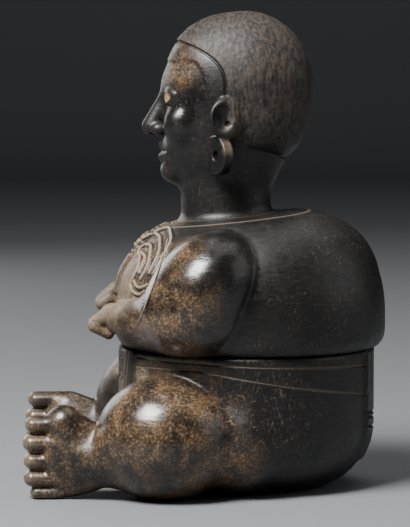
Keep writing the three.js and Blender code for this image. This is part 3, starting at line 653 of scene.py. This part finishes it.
# Loincloth: grooves along its edges with a hooked scroll between them, and behind it a tail with
# bent strokes across and a fringe below.
PANEL_INSETS = (2.4, 7.0)
SCROLL_UP = 72.0
TAIL_LINES = (33.6, 24.0)
CHEVRONS = (49.0, 46.0, 40.0)
CHEVRON_DROP = 3.6
FRINGE = (6.0, 13.0, 20.0, 27.0)


def panel_lines():
    runs = []
    up = np.linspace(CLOTH_FRONT_LOW + 2, SEAM_Z - 0.5, 60)
    for inset in PANEL_INSETS:
        side = CLOTH_FRONT_HALF - CLOTH_TAPER * (SEAM_Z - up) - inset
        runs.append((side, up))
    for centre, half, start, end in (((12, 3), 7.5, 200, -60), ((14, -2), 4.0, 180, -20),
                                     ((9, -8), 6.0, 20, 250)):
        a, b = arc(centre, half, half, start, end)
        runs.append((a, SCROLL_UP + b))
    made = [even_run(lay(lower_outside, np.stack([a, a * 0 + 110, b], axis=1), (0, -1, 0)))
            for a, b in runs]
    return mirrored(made)


def tail_lines():
    runs = [(np.full(30, side), np.linspace(64.5, SEAM_Z - 0.5, 30)) for side in TAIL_LINES]
    runs += [(np.full(60, CLOTH_BACK_HALF - 2.0), np.linspace(20, 60, 60))]
    for height in CHEVRONS:
        side = np.linspace(0, CLOTH_BACK_HALF - 1, 50)
        runs.append((side, height - CHEVRON_DROP * (1 - side / CLOTH_BACK_HALF)))
    runs += [(np.full(30, side), np.linspace(19, 35, 30)) for side in FRINGE]
    made = [even_run(lay(lower_outside, np.stack([a, a * 0 - 110, b], axis=1), (0, 1, 0)))
            for a, b in runs]
    return mirrored(made)


# Meshes

TO_METRES = 0.001
FRAME_SHIFT = (TOE_REACH - BACK_REACH) / 2


def in_frame(points):
    """(side, front, up) in millimetres to the row frame in metres."""
    moved = np.stack([points[:, 0], FRAME_SHIFT - points[:, 1], points[:, 2]], axis=1)
    return moved * TO_METRES


def mesh_of(name, points, triangles=(), edges=()):
    mesh = bpy.data.meshes.new(name)
    # Turning front into -Y mirrors the triangles, so their order is turned back.
    faces = [] if len(triangles) == 0 else triangles[:, ::-1].tolist()
    mesh.from_pydata(in_frame(points).tolist(), list(edges), faces)
    mesh.update()
    piece = bpy.data.objects.new(name, mesh)
    bpy.context.scene.collection.objects.link(piece)
    return piece


def guide_of(name, runs):
    """The carving lines as edges alone, for the node trees to follow."""
    points = np.concatenate(runs)
    edges = []
    first = 0
    for run in runs:
        edges += [(first + i, first + i + 1) for i in range(len(run) - 1)]
        first += len(run)
    return mesh_of(name, points, edges=edges)


def nearness(points, runs):
    """Distance from each point to the carving lines."""
    tree = kdtree.KDTree(sum(len(run) for run in runs))
    for index, spot in enumerate(np.concatenate(runs)):
        tree.insert(spot, index)
    tree.balance()
    return np.array([tree.find(point)[2] for point in points])


def shaped(distance, lines, wanted, rounds):
    points, triangles = surface(distance, lines)
    points = settle(distance, points, 0.8, 2)
    points = settle(distance, relax(points, triangles, 0.5), 0.8, 2)
    for _ in range(rounds):
        points, triangles = split_long(points, triangles, wanted)
        points = settle(distance, points, 0.4, 2)
    points = settle(distance, relax(points, triangles, 0.4), 0.3, 2)
    return points, triangles


def write_mask(piece, name, values):
    attribute = piece.data.attributes.new(name, "FLOAT", "POINT")
    attribute.data.foreach_set("value", np.asarray(values, np.float32))


def keep_inside(piece, box):
    """The facets of the CAD lie a tenth of a millimetre inside the true surface, so its box is held to."""
    places = np.empty(len(piece.data.vertices) * 3, np.float32)
    piece.data.vertices.foreach_get("co", places)
    piece.data.vertices.foreach_set("co", np.clip(places.reshape(-1, 3), box[0], box[1]).ravel())
    piece.data.update()


# Node trees that carve the clay

def add(tree, kind, inputs=None, **settings):
    """Adds a node, sets its properties, and fills or links its inputs."""
    node = tree.nodes.new(kind)
    for name, value in settings.items():
        setattr(node, name, value)
    for key, value in (inputs or {}).items():
        if isinstance(value, bpy.types.NodeSocket):
            tree.links.new(value, node.inputs[key])
        else:
            node.inputs[key].default_value = value
    return node


def new_tree(name, sizes):
    """A geometry tree with the given named inputs, and its first node."""
    tree = bpy.data.node_groups.new(name, "GeometryNodeTree")
    tree.interface.new_socket("Geometry", in_out="OUTPUT", socket_type="NodeSocketGeometry")
    tree.interface.new_socket("Geometry", in_out="INPUT", socket_type="NodeSocketGeometry")
    for label, kind in sizes:
        tree.interface.new_socket(label, in_out="INPUT", socket_type="NodeSocket" + kind)
    return tree, add(tree, "NodeGroupInput")


def finish_tree(tree, start, geometry):
    real = add(tree, "GeometryNodeRealizeInstances", {"Geometry": geometry})
    clay = add(tree, "GeometryNodeSetMaterial",
               {"Geometry": real.outputs[0], "Material": start.outputs["Clay"]})
    add(tree, "NodeGroupOutput", {"Geometry": clay.outputs[0]})
    return tree


def press_in(tree, start, distance):
    """Sinks the surface near the guides by Depth, and keeps where in the attribute Mark."""
    share = add(tree, "ShaderNodeMapRange", interpolation_type="SMOOTHSTEP",
                inputs={"Value": distance, "From Min": 0.0, "From Max": start.outputs["Width"],
                        "To Min": 1.0, "To Max": 0.0})
    before = add(tree, "GeometryNodeInputNamedAttribute", {"Name": start.outputs["Mark"]})
    most = add(tree, "ShaderNodeMath", {0: share.outputs[0], 1: before.outputs["Attribute"]},
               operation="MAXIMUM")
    marked = add(tree, "GeometryNodeStoreNamedAttribute",
                 {"Geometry": start.outputs["Geometry"], "Name": start.outputs["Mark"],
                  "Value": most.outputs[0]})
    depth = add(tree, "ShaderNodeMath", {0: share.outputs[0], 1: start.outputs["Depth"]},
                operation="MULTIPLY")
    inwards = add(tree, "ShaderNodeMath", {0: depth.outputs[0], 1: -1.0}, operation="MULTIPLY")
    normal = add(tree, "GeometryNodeInputNormal")
    move = add(tree, "ShaderNodeVectorMath", {0: normal.outputs[0], "Scale": inwards.outputs[0]},
               operation="SCALE")
    return add(tree, "GeometryNodeSetPosition",
               {"Geometry": marked.outputs[0], "Offset": move.outputs[0]})


def raise_tree():
    """Rounded ridges: a crest over each guide line, with the clay sunk a little on both sides."""
    tree, start = new_tree("raise ridges", [
        ("Lines", "Object"), ("Width", "Float"), ("Height", "Float"), ("Border", "Float"),
        ("Mark", "String"), ("Clay", "Material")])
    guide = add(tree, "GeometryNodeObjectInfo", {"Object": start.outputs["Lines"]})
    near = add(tree, "GeometryNodeProximity", {"Geometry": guide.outputs["Geometry"]},
               target_element="EDGES")
    share = maths(tree, "SUBTRACT", 1.0, ramp(tree, near.outputs["Distance"], 0.0, start.outputs["Width"]))
    before = add(tree, "GeometryNodeInputNamedAttribute", {"Name": start.outputs["Mark"]})
    marked = add(tree, "GeometryNodeStoreNamedAttribute",
                 {"Geometry": start.outputs["Geometry"], "Name": start.outputs["Mark"],
                  "Value": maths(tree, "MAXIMUM", share, before.outputs["Attribute"])})
    crest = maths(tree, "MULTIPLY", ramp(tree, share, 0.45, 0.85), start.outputs["Height"])
    border = maths(tree, "SUBTRACT", ramp(tree, share, 0.0, 0.25), ramp(tree, share, 0.25, 0.5))
    lift = maths(tree, "SUBTRACT", crest, maths(tree, "MULTIPLY", border, start.outputs["Border"]))
    normal = add(tree, "GeometryNodeInputNormal")
    move = add(tree, "ShaderNodeVectorMath", {0: normal.outputs[0], "Scale": lift}, operation="SCALE")
    moved = add(tree, "GeometryNodeSetPosition",
                {"Geometry": marked.outputs[0], "Offset": move.outputs[0]})
    return finish_tree(tree, start, moved.outputs[0])


def line_tree():
    tree, start = new_tree("carve along lines", [
        ("Lines", "Object"), ("Width", "Float"), ("Depth", "Float"), ("Mark", "String"),
        ("Clay", "Material")])
    guide = add(tree, "GeometryNodeObjectInfo", {"Object": start.outputs["Lines"]})
    near = add(tree, "GeometryNodeProximity", {"Geometry": guide.outputs["Geometry"]},
               target_element="EDGES")
    return finish_tree(tree, start, press_in(tree, start, near.outputs["Distance"]).outputs[0])


def scattered(tree, start):
    """Points spread over the patch of clay that the attribute Patch marks."""
    patch = add(tree, "GeometryNodeInputNamedAttribute", {"Name": start.outputs["Patch"]})
    chosen = add(tree, "ShaderNodeMath", {0: patch.outputs["Attribute"], 1: 0.5},
                 operation="GREATER_THAN")
    return add(tree, "GeometryNodeDistributePointsOnFaces",
               {"Mesh": start.outputs["Geometry"], "Selection": chosen.outputs[0],
                "Distance Min": start.outputs["Spacing"], "Density Max": 4.0e6,
                "Seed": start.outputs["Seed"]}, distribute_method="POISSON")


def dot_tree():
    tree, start = new_tree("punch dots", [
        ("Patch", "String"), ("Spacing", "Float"), ("Width", "Float"), ("Depth", "Float"),
        ("Mark", "String"), ("Seed", "Int"), ("Clay", "Material")])
    points = scattered(tree, start)
    near = add(tree, "GeometryNodeProximity", {"Geometry": points.outputs["Points"]},
               target_element="POINTS")
    return finish_tree(tree, start, press_in(tree, start, near.outputs["Distance"]).outputs[0])


def stroke_tree():
    """Short straight strokes that hang down the surface, each turned by up to Wander."""
    tree, start = new_tree("draw strokes", [
        ("Patch", "String"), ("Spacing", "Float"), ("Length", "Float"), ("Width", "Float"),
        ("Depth", "Float"), ("Wander", "Float"), ("Mark", "String"), ("Seed", "Int"),
        ("Clay", "Material")])
    points = scattered(tree, start)
    level = add(tree, "ShaderNodeVectorMath",
                {0: points.outputs["Normal"], 1: (0.0, 0.0, 1.0)}, operation="CROSS_PRODUCT")
    fall = add(tree, "ShaderNodeVectorMath",
               {0: points.outputs["Normal"], 1: level.outputs[0]}, operation="CROSS_PRODUCT")
    least = add(tree, "ShaderNodeMath", {0: start.outputs["Wander"], 1: -1.0}, operation="MULTIPLY")
    turn = add(tree, "FunctionNodeRandomValue", data_type="FLOAT",
               inputs={2: least.outputs[0], 3: start.outputs["Wander"], "Seed": start.outputs["Seed"]})
    heading = add(tree, "ShaderNodeVectorRotate",
                  {"Vector": fall.outputs[0], "Axis": points.outputs["Normal"],
                   "Angle": turn.outputs[1]}, rotation_type="AXIS_ANGLE")
    facing = add(tree, "FunctionNodeAlignRotationToVector", {"Vector": heading.outputs[0]}, axis="X")
    half = add(tree, "ShaderNodeMath", {0: start.outputs["Length"], 1: 0.5}, operation="MULTIPLY")
    low = add(tree, "ShaderNodeMath", {0: half.outputs[0], 1: -1.0}, operation="MULTIPLY")
    step = add(tree, "ShaderNodeCombineXYZ", {"X": start.outputs["Length"]})
    first = add(tree, "ShaderNodeCombineXYZ", {"X": low.outputs[0]})
    stroke = add(tree, "GeometryNodeMeshLine",
                 {"Count": 2, "Start Location": first.outputs[0], "Offset": step.outputs[0]})
    placed = add(tree, "GeometryNodeInstanceOnPoints",
                 {"Points": points.outputs["Points"], "Instance": stroke.outputs[0],
                  "Rotation": facing.outputs[0]})
    real = add(tree, "GeometryNodeRealizeInstances", {"Geometry": placed.outputs[0]})
    near = add(tree, "GeometryNodeProximity", {"Geometry": real.outputs[0]}, target_element="EDGES")
    return finish_tree(tree, start, press_in(tree, start, near.outputs["Distance"]).outputs[0])


def carve(piece, tree, **values):
    """Runs a tree on a piece once and keeps the result as a plain mesh."""
    modifier = piece.modifiers.new(tree.name, "NODES")
    modifier.node_group = tree
    for item in tree.interface.items_tree:
        if item.item_type == "SOCKET" and item.in_out == "INPUT" and item.name in values:
            modifier[item.identifier] = values[item.name]
    graph = bpy.context.evaluated_depsgraph_get()
    result = bpy.data.meshes.new_from_object(piece.evaluated_get(graph), depsgraph=graph)
    piece.modifiers.clear()
    piece.data = result


# Materials

def linear(code):
    """A colour written as sRGB hex, in the linear values that the shader takes."""
    parts = [int(code[i:i + 2], 16) / 255 for i in (1, 3, 5)]
    return tuple(p / 12.92 if p <= 0.04045 else ((p + 0.055) / 1.055) ** 2.4 for p in parts) + (1.0,)


def pattern(tree, place, size_mm, detail=4.0, roughness=0.55, stretch=(1, 1, 1), shift=(0, 0, 0)):
    """Noise whose blotches are size_mm across, in the piece's own coordinates."""
    mapped = add(tree, "ShaderNodeMapping", {"Vector": place, "Location": shift, "Scale": stretch})
    return add(tree, "ShaderNodeTexNoise",
               {"Vector": mapped.outputs[0], "Scale": 1 / (size_mm * TO_METRES), "Detail": detail,
                "Roughness": roughness}).outputs["Fac"]


def ramp(tree, value, low, high):
    return add(tree, "ShaderNodeMapRange", interpolation_type="SMOOTHSTEP",
               inputs={"Value": value, "From Min": low, "From Max": high}).outputs[0]


def maths(tree, operation, *values):
    return add(tree, "ShaderNodeMath", dict(enumerate(values)), operation=operation).outputs[0]


def tint(tree, share, under, over):
    mixed = add(tree, "ShaderNodeMix", {0: share, 6: under, 7: over}, data_type="RGBA")
    return mixed.outputs[2]


def mask(tree, name):
    return add(tree, "ShaderNodeAttribute", attribute_name=name).outputs["Fac"]


def scratches(tree, place, size_mm, width_mm, turn, shift):
    """Fine curved scratches: one level of a drawn-out noise, broken up so that only parts stay."""
    mapped = add(tree, "ShaderNodeMapping",
                 {"Vector": place, "Location": shift, "Rotation": turn, "Scale": (1.0, 1.0, 0.4)})
    noise = add(tree, "ShaderNodeTexNoise",
                {"Vector": mapped.outputs[0], "Scale": 1 / (size_mm * TO_METRES), "Detail": 0.6})
    away = maths(tree, "ABSOLUTE", maths(tree, "SUBTRACT", noise.outputs["Fac"], 0.5))
    line = ramp(tree, away, width_mm / size_mm * 0.5, 0.0)
    kept = ramp(tree, pattern(tree, place, size_mm * 0.9, 5.0, 0.65, shift=shift), 0.5, 0.62)
    return maths(tree, "MULTIPLY", line, kept)


# Low-fired earthenware, blackened by smoke and burnished with a pebble: a dark skin with a soft
# sheen, worn through to brown clay where it was handled, with pale dust held in its cut lines.
# Painted shade darkens the grooves, the punched dots and the moats beside the ridges. The ridge
# crests are painted pale, partly as dust and partly as a painted highlight.
def burnished_blackware(name):
    material = bpy.data.materials.new(name)
    material.use_nodes = True
    tree = material.node_tree
    tree.nodes.clear()
    place = add(tree, "ShaderNodeTexCoord").outputs["Object"]
    rubbed, dusty, scored, hair = (mask(tree, part) for part in ("rubbed", "dusty", "scored", "hair"))
    cloud = pattern(tree, place, 45, 3.0)
    blotch = pattern(tree, place, 14, 6.0, 0.6, shift=(3, 1, 2))
    mottle = pattern(tree, place, 5, 6.0, 0.65)
    speck = pattern(tree, place, 1.6, 5.0, 0.65)
    grit = pattern(tree, place, 0.8, 2.0)

    skin = tint(tree, ramp(tree, cloud, 0.35, 0.65), linear("#0f0e0e"), linear("#1a1817"))
    streak = ramp(tree, pattern(tree, place, 7, 6.0, 0.65, (1.0, 1.0, 5.0)), 0.48, 0.7)
    skin = tint(tree, maths(tree, "MULTIPLY", streak, 0.35), skin, linear("#36312c"))
    specks = ramp(tree, pattern(tree, place, 1.5, 3.0, 0.65, (1.0, 1.0, 0.6), (2, 6, 4)), 0.56, 0.68)
    specks = maths(tree, "MULTIPLY", specks, ramp(tree, pattern(tree, place, 22, 4.0, 0.6), 0.38, 0.62))
    skin = tint(tree, maths(tree, "MULTIPLY", specks, 0.55), skin, linear("#5e554b"))
    brown = maths(tree, "MULTIPLY", ramp(tree, blotch, 0.28, 0.58), rubbed)
    brown = maths(tree, "MULTIPLY", brown, ramp(tree, pattern(tree, place, 28, 2.0, shift=(5, 2, 8)), 0.2, 0.45))
    skin = tint(tree, brown, skin, linear("#483829"))
    warm = maths(tree, "MULTIPLY", ramp(tree, blotch, 0.5, 0.68), maths(tree, "POWER", rubbed, 1.5))
    warm = maths(tree, "MULTIPLY", warm, ramp(tree, mottle, 0.38, 0.62))
    skin = tint(tree, maths(tree, "MULTIPLY", warm, 0.7), skin, linear("#8c643c"))
    golden = maths(tree, "MULTIPLY", ramp(tree, speck, 0.46, 0.66), maths(tree, "MULTIPLY", brown, 0.8))
    skin = tint(tree, golden, skin, linear("#907a60"))
    black = maths(tree, "MULTIPLY", ramp(tree, mottle, 0.48, 0.66), 0.55)
    skin = tint(tree, black, skin, linear("#110e0c"))
    strands = ramp(tree, pattern(tree, place, 2.2, 5.0, 0.65, (1.0, 1.0, 0.35)), 0.36, 0.66)
    dry = maths(tree, "MULTIPLY", strands, maths(tree, "MULTIPLY", hair, 0.7))
    skin = tint(tree, dry, skin, linear("#4f443a"))
    net = maths(tree, "MAXIMUM", scratches(tree, place, 7.0, 0.17, (0.4, 0.2, 0.1), (0.3, 0.1, 0.2)),
                scratches(tree, place, 5.0, 0.15, (1.2, 0.5, 0.7), (0.1, 0.8, 0.5)))
    net = maths(tree, "MAXIMUM", net, scratches(tree, place, 11.0, 0.18, (2.2, 1.1, 0.3), (0.7, 0.4, 0.9)))
    marked = maths(tree, "MAXIMUM", maths(tree, "MULTIPLY_ADD", rubbed, 0.3, 0.03),
                   maths(tree, "MULTIPLY", scored, 0.45))
    pale = maths(tree, "MULTIPLY", net, marked)
    skin = tint(tree, pale, skin, linear("#a58c6e"))
    held = maths(tree, "MULTIPLY", dusty, ramp(tree, mottle, 0.2, 0.6))
    # Pale colour: dust in the pressed lines and over the stippled ground. On the ridge crests the pale tint is
    # partly dust and partly a painted highlight of light falling on the raised relief.
    lines = maths(tree, "MAXIMUM", maths(tree, "MULTIPLY", mask(tree, "pressed"), 0.4),
                  maths(tree, "MULTIPLY", ramp(tree, mask(tree, "ridge"), 0.5, 0.85), 0.8))
    lines = maths(tree, "MAXIMUM", maths(tree, "MULTIPLY", mask(tree, "stippled"), 0.6), lines)
    dust_and_crest_highlight = maths(tree, "MAXIMUM", maths(tree, "MULTIPLY", held, 0.42), lines)
    skin = tint(tree, dust_and_crest_highlight, skin, linear("#9c8a73"))
    # Painted shade: the grooves, punched dots and hair edge marked shaded, and the moat on each side of a ridge,
    # are darkened in colour where shade would fall.
    border = maths(tree, "SUBTRACT", ramp(tree, mask(tree, "ridge"), 0.02, 0.25),
                   ramp(tree, mask(tree, "ridge"), 0.3, 0.6))
    sunk = maths(tree, "MAXIMUM", mask(tree, "shaded"), border)
    skin = tint(tree, maths(tree, "MULTIPLY", sunk, 0.75), skin, linear("#0e0c0b"))
    skin = tint(tree, mask(tree, "eye"), skin, linear("#a5845c"))
    skin = tint(tree, mask(tree, "iris"), skin, linear("#3a2418"))

    dull = maths(tree, "MULTIPLY_ADD", ramp(tree, mottle, 0.35, 0.65), 0.1, 0.4)
    dull = maths(tree, "MULTIPLY_ADD", mask(tree, "polished"), -0.22, dull)
    dull = maths(tree, "MULTIPLY_ADD", hair, 0.16, dull)
    dull = maths(tree, "MULTIPLY_ADD", maths(tree, "MAXIMUM", dust_and_crest_highlight, pale), 0.22, dull)
    burnish = pattern(tree, place, 12, 3.0, 0.5, (1.0, 1.0, 5.0))
    relief = maths(tree, "MULTIPLY_ADD", grit, 0.2, burnish)
    relief = maths(tree, "MULTIPLY_ADD", pale, -0.2, relief)
    bump = add(tree, "ShaderNodeBump", {"Strength": 0.25, "Distance": 0.0008, "Height": relief})
    shader = add(tree, "ShaderNodeBsdfPrincipled",
                 {"Base Color": skin, "Roughness": dull, "IOR": 1.48, "Normal": bump.outputs[0],
                  "Coat Weight": maths(tree, "MULTIPLY", mask(tree, "polished"), 0.4), "Coat Roughness": 0.2, "Coat IOR": 1.45,
                  "Coat Normal": bump.outputs[0]})
    add(tree, "ShaderNodeOutputMaterial", {"Surface": shader.outputs[0]})
    return material


# Where the work needs short edges, and where the clay is worn, dusty or cut

OUTER_EDGE, INNER_EDGE, LINE_EDGE, LINE_REACH = 2.9, 7.0, 0.68, 1.1
INSIDE = -3.5
FACE_AREA = ((0, 28, 190), (32, 80, 274), 1.5)
FEATURE_AREA = ((0, 40, 206), (28, 80, 256), 1.0)
EAR_AREA = ((30, 2, 196), (60, 34, 250), 1.4)
HAIR_AREA = ((0, -60, 212), (60, 60, 305), 2.1)
HAND_AREA = ((0, 72, 90), (46, 130, 132), 1.5)
TOE_AREA = ((40, 108, 0), (80, 150, 52), 1.0)
STIPPLE = ((36, 60, 66), (45, 110, 79), 0.45)

RUBBED_ABOVE = (((84, 56, 116), (30, 30, 30)), ((28, 74, 146), (30, 20, 26)), ((72, 52, 154), (24, 18, 14)), ((20, 92, 108), (32, 28, 20)),
                ((24, 46, 268), (18, 14, 14)), ((74, 62, 102), (26, 24, 14)))
RUBBED_BELOW = (((80, 62, 46), (34, 42, 44)), ((62, 122, 24), (30, 30, 36)), ((90, 22, 20), (20, 26, 20)),
                ((88, 28, 62), (16, 20, 12)))
POLISHED_ABOVE = (((86, 50, 130), (34, 44, 46)), ((27, 38, 244), (10, 14, 22)))
POLISHED_BELOW = (((90, 64, 50), (32, 40, 40)), ((62, 108, 52), (14, 16, 12)), ((60, 140, 26), (16, 14, 34)))
DUST_ABOVE = (((24, 76, 122), (24, 20, 16)), ((0, 52, 168), (30, 10, 4)), ((46, 12, 224), (5, 7, 12)),
              ((16, 92, 112), (26, 24, 14)))
DUST_BELOW = (((60, 143, 26), (14, 10, 34)), ((41, 70, 73), (7, 30, 9)), ((0, 92, 70), (30, 26, 26)))
SCORED_BELOW = (((80, 8, 56), (18, 34, 28)), ((88, 30, 66), (18, 26, 14)))
EYE = ((EYE_SIDE, 50, EYE_Z), (EYE_HALF, 8, EYE_OPEN * 1.1))
IRIS = ((EYE_SIDE - 0.8, 52, EYE_Z), (2.9, 6, 2.9))


def patch(points, *shapes, softness=0.5):
    """1 inside any of the ovals, falling softly to 0 outside them, on both sides."""
    folded = points * (1, 1, 1)
    folded[:, 0] = np.abs(points[:, 0])
    most = np.zeros(len(points))
    for centre, radii in shapes:
        away = np.sqrt((((folded - centre) / radii) ** 2).sum(axis=1))
        most = np.maximum(most, clamp01((1 + softness / 2 - away) / softness))
    return most


def within(points, area):
    folded = points * (1, 1, 1)
    folded[:, 0] = np.abs(points[:, 0])
    return np.all((folded >= area[0]) & (folded <= area[1]), axis=1)


def edge_lengths(outside, areas, runs):
    """Long edges inside the vessel, short ones in the areas and shortest along the lines."""
    def wanted(points):
        inside = evaluate(outside, points) < INSIDE
        length = np.where(inside, INNER_EDGE, OUTER_EDGE)
        for area in areas:
            length = np.where(within(points, area) & ~inside, np.minimum(length, area[2]), length)
        gap = nearness(points, runs)
        return np.where(gap < LINE_REACH, LINE_EDGE, np.minimum(length, np.maximum(gap, LINE_EDGE)))
    return wanted


def in_hair(points):
    side, front, up = np.abs(points[:, 0]), points[:, 1], points[:, 2]
    edge = hair_edge(front, up)
    return clamp01(-edge / 1.5) * clamp01((up - HEM_HEIGHT) / 2) * (np.abs(skull(side, front, up)) < 5)


def make_lower(lines):
    grid = (grid_lines(-106, 106, [(-72, -46), (46, 72)], 3.4, 1.7),
            grid_lines(-90, 148, [(95, 148)], 3.4, 1.7), grid_lines(-6, 104, [(-6, 66)], 3.4, 1.7))
    wanted = edge_lengths(lower_outside, [TOE_AREA, STIPPLE], lines)
    points, triangles = shaped(lower_vessel, grid, wanted, 3)
    piece = mesh_of("lower_vessel", points, triangles)
    write_mask(piece, "rubbed", patch(points, *RUBBED_BELOW, softness=0.9))
    write_mask(piece, "polished", patch(points, *POLISHED_BELOW, softness=0.9))
    write_mask(piece, "scored", patch(points, *SCORED_BELOW, softness=0.9))
    write_mask(piece, "dusty", patch(points, *DUST_BELOW, softness=0.8))
    write_mask(piece, "stippled", within(points, STIPPLE))
    return piece


def make_upper(lines):
    grid = (grid_lines(-102, 102, [(-46, 46)], 3.4, 1.9), grid_lines(-94, 112, [(38, 112)], 3.4, 1.9),
            grid_lines(82, 305, [(92, 125), (192, 288)], 3.4, 1.9))
    areas = [FACE_AREA, FEATURE_AREA, EAR_AREA, HAND_AREA, HAIR_AREA]
    points, triangles = shaped(lid_vessel, grid, edge_lengths(upper_outside, areas, lines), 3)
    piece = mesh_of("lid", points, triangles)
    write_mask(piece, "rubbed", patch(points, *RUBBED_ABOVE, softness=0.9))
    write_mask(piece, "polished", patch(points, *POLISHED_ABOVE, softness=0.9))
    write_mask(piece, "dusty", patch(points, *DUST_ABOVE, softness=1.0))
    write_mask(piece, "hair", in_hair(points))
    write_mask(piece, "eye", patch(points, EYE, softness=0.15))
    write_mask(piece, "iris", patch(points, IRIS, softness=0.25))
    return piece


# Camera, light and floor

TARGET = Vector((0.0, 0.00035, 0.140))
CAMERA = Vector((1.770, -0.0831, 0.286))
LENS = 191.2
SWEEP_BACK, SWEEP_FRONT, SWEEP_HALF, SWEEP_RADIUS, SWEEP_TOP = -5.0, 5.0, 5.0, 1.2, 3.5


def look(thing, target):
    thing.rotation_euler = (target - thing.location).to_track_quat("-Z", "Y").to_euler()


def in_scene(name, data, place=(0, 0, 0)):
    thing = bpy.data.objects.new(name, data)
    thing.location = place
    bpy.context.scene.collection.objects.link(thing)
    return thing


def place_camera():
    data = bpy.data.cameras.new("camera")
    data.lens = LENS
    camera = in_scene("camera", data, CAMERA)
    look(camera, TARGET)
    bpy.context.scene.camera = camera


def softbox(name, direction, distance, size, power):
    data = bpy.data.lights.new(name, "AREA")
    data.size = size
    data.energy = power
    look(in_scene(name, data, TARGET + Vector(direction).normalized() * distance), TARGET)


def studio(material):
    softbox("key softbox", (0.44, -0.40, 0.80), 1.4, 0.58, 56)
    softbox("top softbox", (-0.2, 0.3, 1.0), 1.6, 1.3, 6.5)
    softbox("front softbox", (-1.0, -0.55, 0.3), 1.8, 0.8, 7)
    softbox("back softbox", (0.1, 1.0, 0.4), 2.2, 1.6, 8)
    world = bpy.data.worlds.new("studio")
    bpy.context.scene.world = world
    world.use_nodes = True
    world.node_tree.nodes["Background"].inputs["Color"].default_value = linear("#d8dade")
    world.node_tree.nodes["Background"].inputs["Strength"].default_value = 0.012
    # The paper lies flat and then sweeps up behind in one curve.
    turn = np.radians(np.linspace(0, 90, 24))
    profile = [(SWEEP_FRONT, 0.0)]
    profile += [(SWEEP_BACK + SWEEP_RADIUS * (1 - np.sin(t)), SWEEP_RADIUS * (1 - np.cos(t))) for t in turn]
    profile += [(SWEEP_BACK, SWEEP_TOP)]
    places = [(x, side * SWEEP_HALF, z) for x, z in profile for side in (-1, 1)]
    faces = [(i, i + 1, i + 3, i + 2) for i in range(0, len(places) - 2, 2)]
    mesh = bpy.data.meshes.new("floor")
    mesh.from_pydata(places, [], faces)
    mesh.shade_smooth()
    mesh.materials.append(material)
    floor = in_scene("floor", mesh)


# Plain matt paper, mid to pale grey.
def matt_paper(name):
    material = bpy.data.materials.new(name)
    material.use_nodes = True
    tree = material.node_tree
    tree.nodes.clear()
    sheet = add(tree, "ShaderNodeBsdfPrincipled", {"Base Color": linear("#7c7e81"), "Roughness": 0.85})
    add(tree, "ShaderNodeOutputMaterial", {"Surface": sheet.outputs[0]})
    return material


place_camera()
studio(matt_paper("matt_paper"))
clay = burnished_blackware("burnished_blackware")

belt = belt_lines()
cloth = panel_lines() + tail_lines()
cut = notch_lines()
edge_cut = hair_lines()
raised = chest_lines()
arm_ridge = arm_lines()
rims, ring = ([run] for run in shelf_lines())
lower = make_lower(belt + cloth)
lid = make_upper(cut + edge_cut + raised + arm_ridge + rims + ring)
MM = TO_METRES
along_lines, ridges, punched, strokes = line_tree(), raise_tree(), dot_tree(), stroke_tree()
# A shaded mark makes its grooves darker with painted shade. A pressed mark takes pale dust. A ridge mark gets a
# pale crest that is partly a painted highlight, with painted shade in the moat beside it.
for piece, runs, width, depth, mark in ((lower, belt, 0.9, 0.8, "pressed"), (lower, cloth, 1.2, 1.1, "shaded"),
                                        (lid, cut, 1.0, 0.8, "shaded"), (lid, edge_cut, 1.2, 0.7, "shaded"),
                                        (lid, arm_ridge, 0.9, -0.7, "ridge"),
                                        (lid, ring, 1.0, 0.4, "pressed"), (lid, rims, 1.3, -0.4, "pressed")):
    guide = guide_of("guide", runs)
    carve(piece, along_lines, Lines=guide, Width=width * MM, Depth=depth * MM, Mark=mark, Clay=clay)
    bpy.data.objects.remove(guide)
# The chest ridges store the mark ridge: a pale crest, partly a painted highlight, between moats darkened with
# painted shade.
guide = guide_of("guide", raised)
carve(lid, ridges, Lines=guide, Width=2.4 * MM, Height=1.1 * MM, Border=0.6 * MM, Mark="ridge", Clay=clay)
bpy.data.objects.remove(guide)
# The punched dots carry the mark shaded, so painted shade darkens each dot.
carve(lower, punched, Patch="stippled", Spacing=1.9 * MM, Width=1.3 * MM, Depth=0.7 * MM,
      Mark="shaded", Seed=3, Clay=clay)
carve(lid, strokes, Patch="hair", Spacing=2.6 * MM, Length=8.0 * MM, Width=0.9 * MM,
      Depth=0.3 * MM, Wander=0.15, Mark="combed", Seed=7, Clay=clay)
for piece, node in ((lower, "urn_base"), (lid, "urn_lid")):
    keep_inside(piece, cad_box)
    piece.data.shade_smooth()
    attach(piece, "root")
    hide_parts(node)
